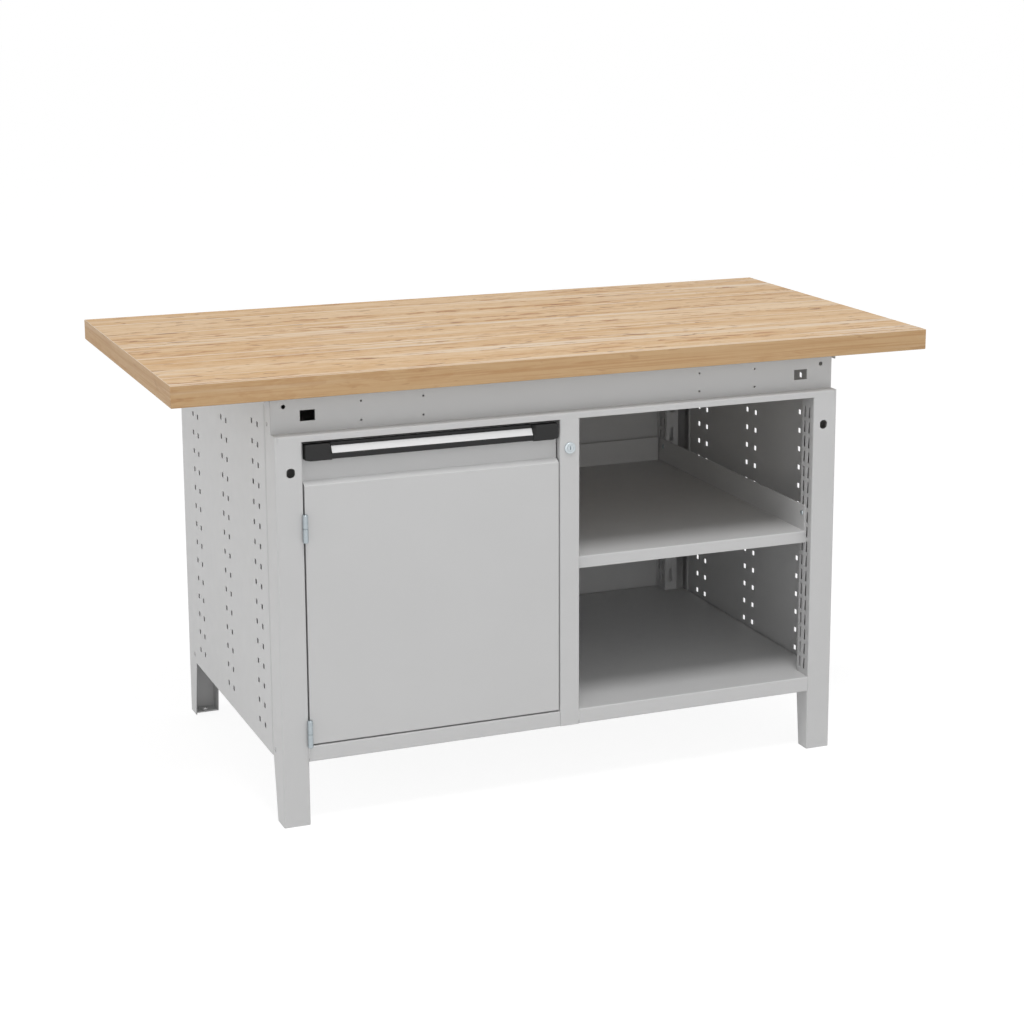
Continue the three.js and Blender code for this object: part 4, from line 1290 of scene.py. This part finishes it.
rail_low, rail_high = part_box("upper_rail_front")
under_flange = rail_high.z - FLANGE - TOP_SCREW["Head Height"] / 2
screw_y = rail_high.y - RAIL_SCREW_IN
rail_screw_x = -(RAIL_SCREWS - 1) / 2 * RAIL_SCREW_STEP
first_screw = (rail_screw_x, screw_y, under_flange)
along_rail = (RAIL_SCREWS, (RAIL_SCREW_STEP, 0, 0))
to_rear = (2, (0, -2 * screw_y, 0))
fasteners("rail_screws", TOP_SCREW, "zinc", FACE_DOWN, first_screw, along_rail, to_rear)

support_low, support_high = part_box("worktop_support_right")
support_x = (support_low.x + support_high.x) / 2
first_screw = (-support_x, -SUPPORT_SCREW_Y, under_flange)
to_right = (2, (2 * support_x, 0, 0))
to_rear = (2, (0, 2 * SUPPORT_SCREW_Y, 0))
fasteners("support_screws", TOP_SCREW, "zinc", FACE_DOWN, first_screw, to_right, to_rear)

# %% [markdown]
# Each tray bolt has a nut behind the sheet of the post. A nut is a head with six sides and a bore through
# it. The outer nuts sit at the corner posts and the inner ones at the centre posts.

# %% Nuts of the tray bolts
BOLT_NUT = {"Head Sides": 6, "Head Radius": 4.6 * MM, "Head Height": 3.6 * MM}
BOLT_NUT |= {"Socket Sides": 24, "Socket Radius": 2.4 * MM, "Socket Depth": 5 * MM}
FACE_RIGHT = (0, math.pi / 2, 0)
POST_SHEET = 2 * MM
NUT_GAP = 0.2 * MM

bolt_low, bolt_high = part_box("bay_bolt_front_right")
tray_low, tray_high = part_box("bay_tray_shelf")
bolt_y = (bolt_low.y + bolt_high.y) / 2
bolt_z = (bolt_low.z + bolt_high.z) / 2
nut_reach = POST_SHEET + NUT_GAP + BOLT_NUT["Head Height"] / 2
nut_places = {"outer_tray_nuts": tray_high.x + nut_reach, "inner_tray_nuts": tray_low.x - nut_reach}
for name, nut_x in nut_places.items():
    first_nut = (-nut_x, bolt_y, bolt_z)
    to_right = (2, (2 * nut_x, 0, 0))
    to_rear = (2, (0, -2 * bolt_y, 0))
    fasteners(name, BOLT_NUT, "zinc", FACE_RIGHT, first_nut, to_right, to_rear)

# %% [markdown]
# Hollow rivets hold each side panel to its posts, in the slots where the panel laps behind them. They are
# painted with the frame, and stand a little proud of the posts.

# %% Rivets of the side panels
LAP_RIVET = {"Head Sides": 32, "Head Radius": 4.2 * MM, "Head Height": 3.2 * MM}
LAP_RIVET |= {"Socket Sides": 24, "Socket Radius": 2.6 * MM, "Socket Depth": 2.6 * MM}
PAINTED_RIM = 0.2 * MM
LAP_SLOT_IN = 49 * MM
LAP_SLOT_LOW = 135 * MM
LAP_SLOT_HIGH = 744 * MM
RIVET_PROUD = 0.8 * MM

post_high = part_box("post_rear_right")[1]
rivet_x = post_high.x + RIVET_PROUD - LAP_RIVET["Head Height"] / 2
rivet_y = post_high.y - LAP_SLOT_IN
to_rear = (2, (0, 2 * rivet_y, 0))
upwards = (2, (0, 0, LAP_SLOT_HIGH - LAP_SLOT_LOW))
for name, side in (("lap_rivets_right", 1), ("lap_rivets_left", -1)):
    face_out = (0, side * math.pi / 2, 0)
    first_rivet = (side * rivet_x, -rivet_y, LAP_SLOT_LOW)
    fasteners(name, LAP_RIVET, "grey_paint", face_out, first_rivet, to_rear, upwards, PAINTED_RIM)

# %% [markdown]
# The small holes of the rails take screws, so each has a thread collar behind the sheet. It is a short
# tube with a bore through it, and it is why the holes look dark.

# %% Thread collars of the rails
THREAD_COLLAR = {"Head Sides": 24, "Head Radius": 3.4 * MM, "Head Height": 6 * MM}
THREAD_COLLAR |= {"Socket Sides": 24, "Socket Radius": 2.2 * MM, "Socket Depth": 7 * MM}
FACE_BACK = (-math.pi / 2, 0, 0)
RAIL_SETBACK = 24 * MM
RAIL_HOLE_INNER = 278 * MM
RAIL_HOLE_OUTER = 396 * MM
RAIL_HOLE_DROPS = {"upper": 21 * MM, "lower": 56 * MM}

collar_y = rail_low.y + RAIL_SETBACK + FLANGE + THREAD_COLLAR["Head Height"] / 2
to_next = (2, (RAIL_HOLE_OUTER - RAIL_HOLE_INNER, 0, 0))
to_right = (2, (RAIL_HOLE_OUTER + RAIL_HOLE_INNER, 0, 0))
for level, drop in RAIL_HOLE_DROPS.items():
    for end, way in (("front", 1), ("rear", -1)):
        name = f"rail_collars_{end}_{level}"
        first_collar = (-RAIL_HOLE_OUTER, way * collar_y, rail_high.z - drop)
        fasteners(name, THREAD_COLLAR, "grey_paint", FACE_BACK, first_collar, to_next, to_right, PAINTED_RIM)

# %% [markdown]
# The ledge of the front rail is spot welded to the posts, and each weld leaves a shallow ring under the
# paint. It is the flattest fastener of all: a low head with a shallow round hollow.

# %% Spot welds on the ledge
SPOT_WELD = {"Head Sides": 24, "Head Radius": 3.6 * MM, "Head Height": 0.6 * MM}
SPOT_WELD |= {"Socket Sides": 24, "Socket Radius": 2.6 * MM, "Socket Depth": 0.35 * MM}
FACE_UP = (0, 0, 0)
WELD_RIM = 0.1 * MM
LEDGE_Z = 730 * MM
WELD_IN = 13 * MM
WELD_PAIR = 46 * MM
WELD_OUTER_X = 543 * MM

first_weld = (-WELD_OUTER_X, rail_low.y + WELD_IN, LEDGE_Z)
to_next = (2, (WELD_PAIR, 0, 0))
to_right = (2, (2 * WELD_OUTER_X - WELD_PAIR, 0, 0))
fasteners("ledge_spot_welds", SPOT_WELD, "grey_paint", FACE_UP, first_weld, to_next, to_right, WELD_RIM)

# %% Sizes, and the end
low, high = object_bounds()
print("visual box in mm:", [round(x / MM, 1) for x in high - low])
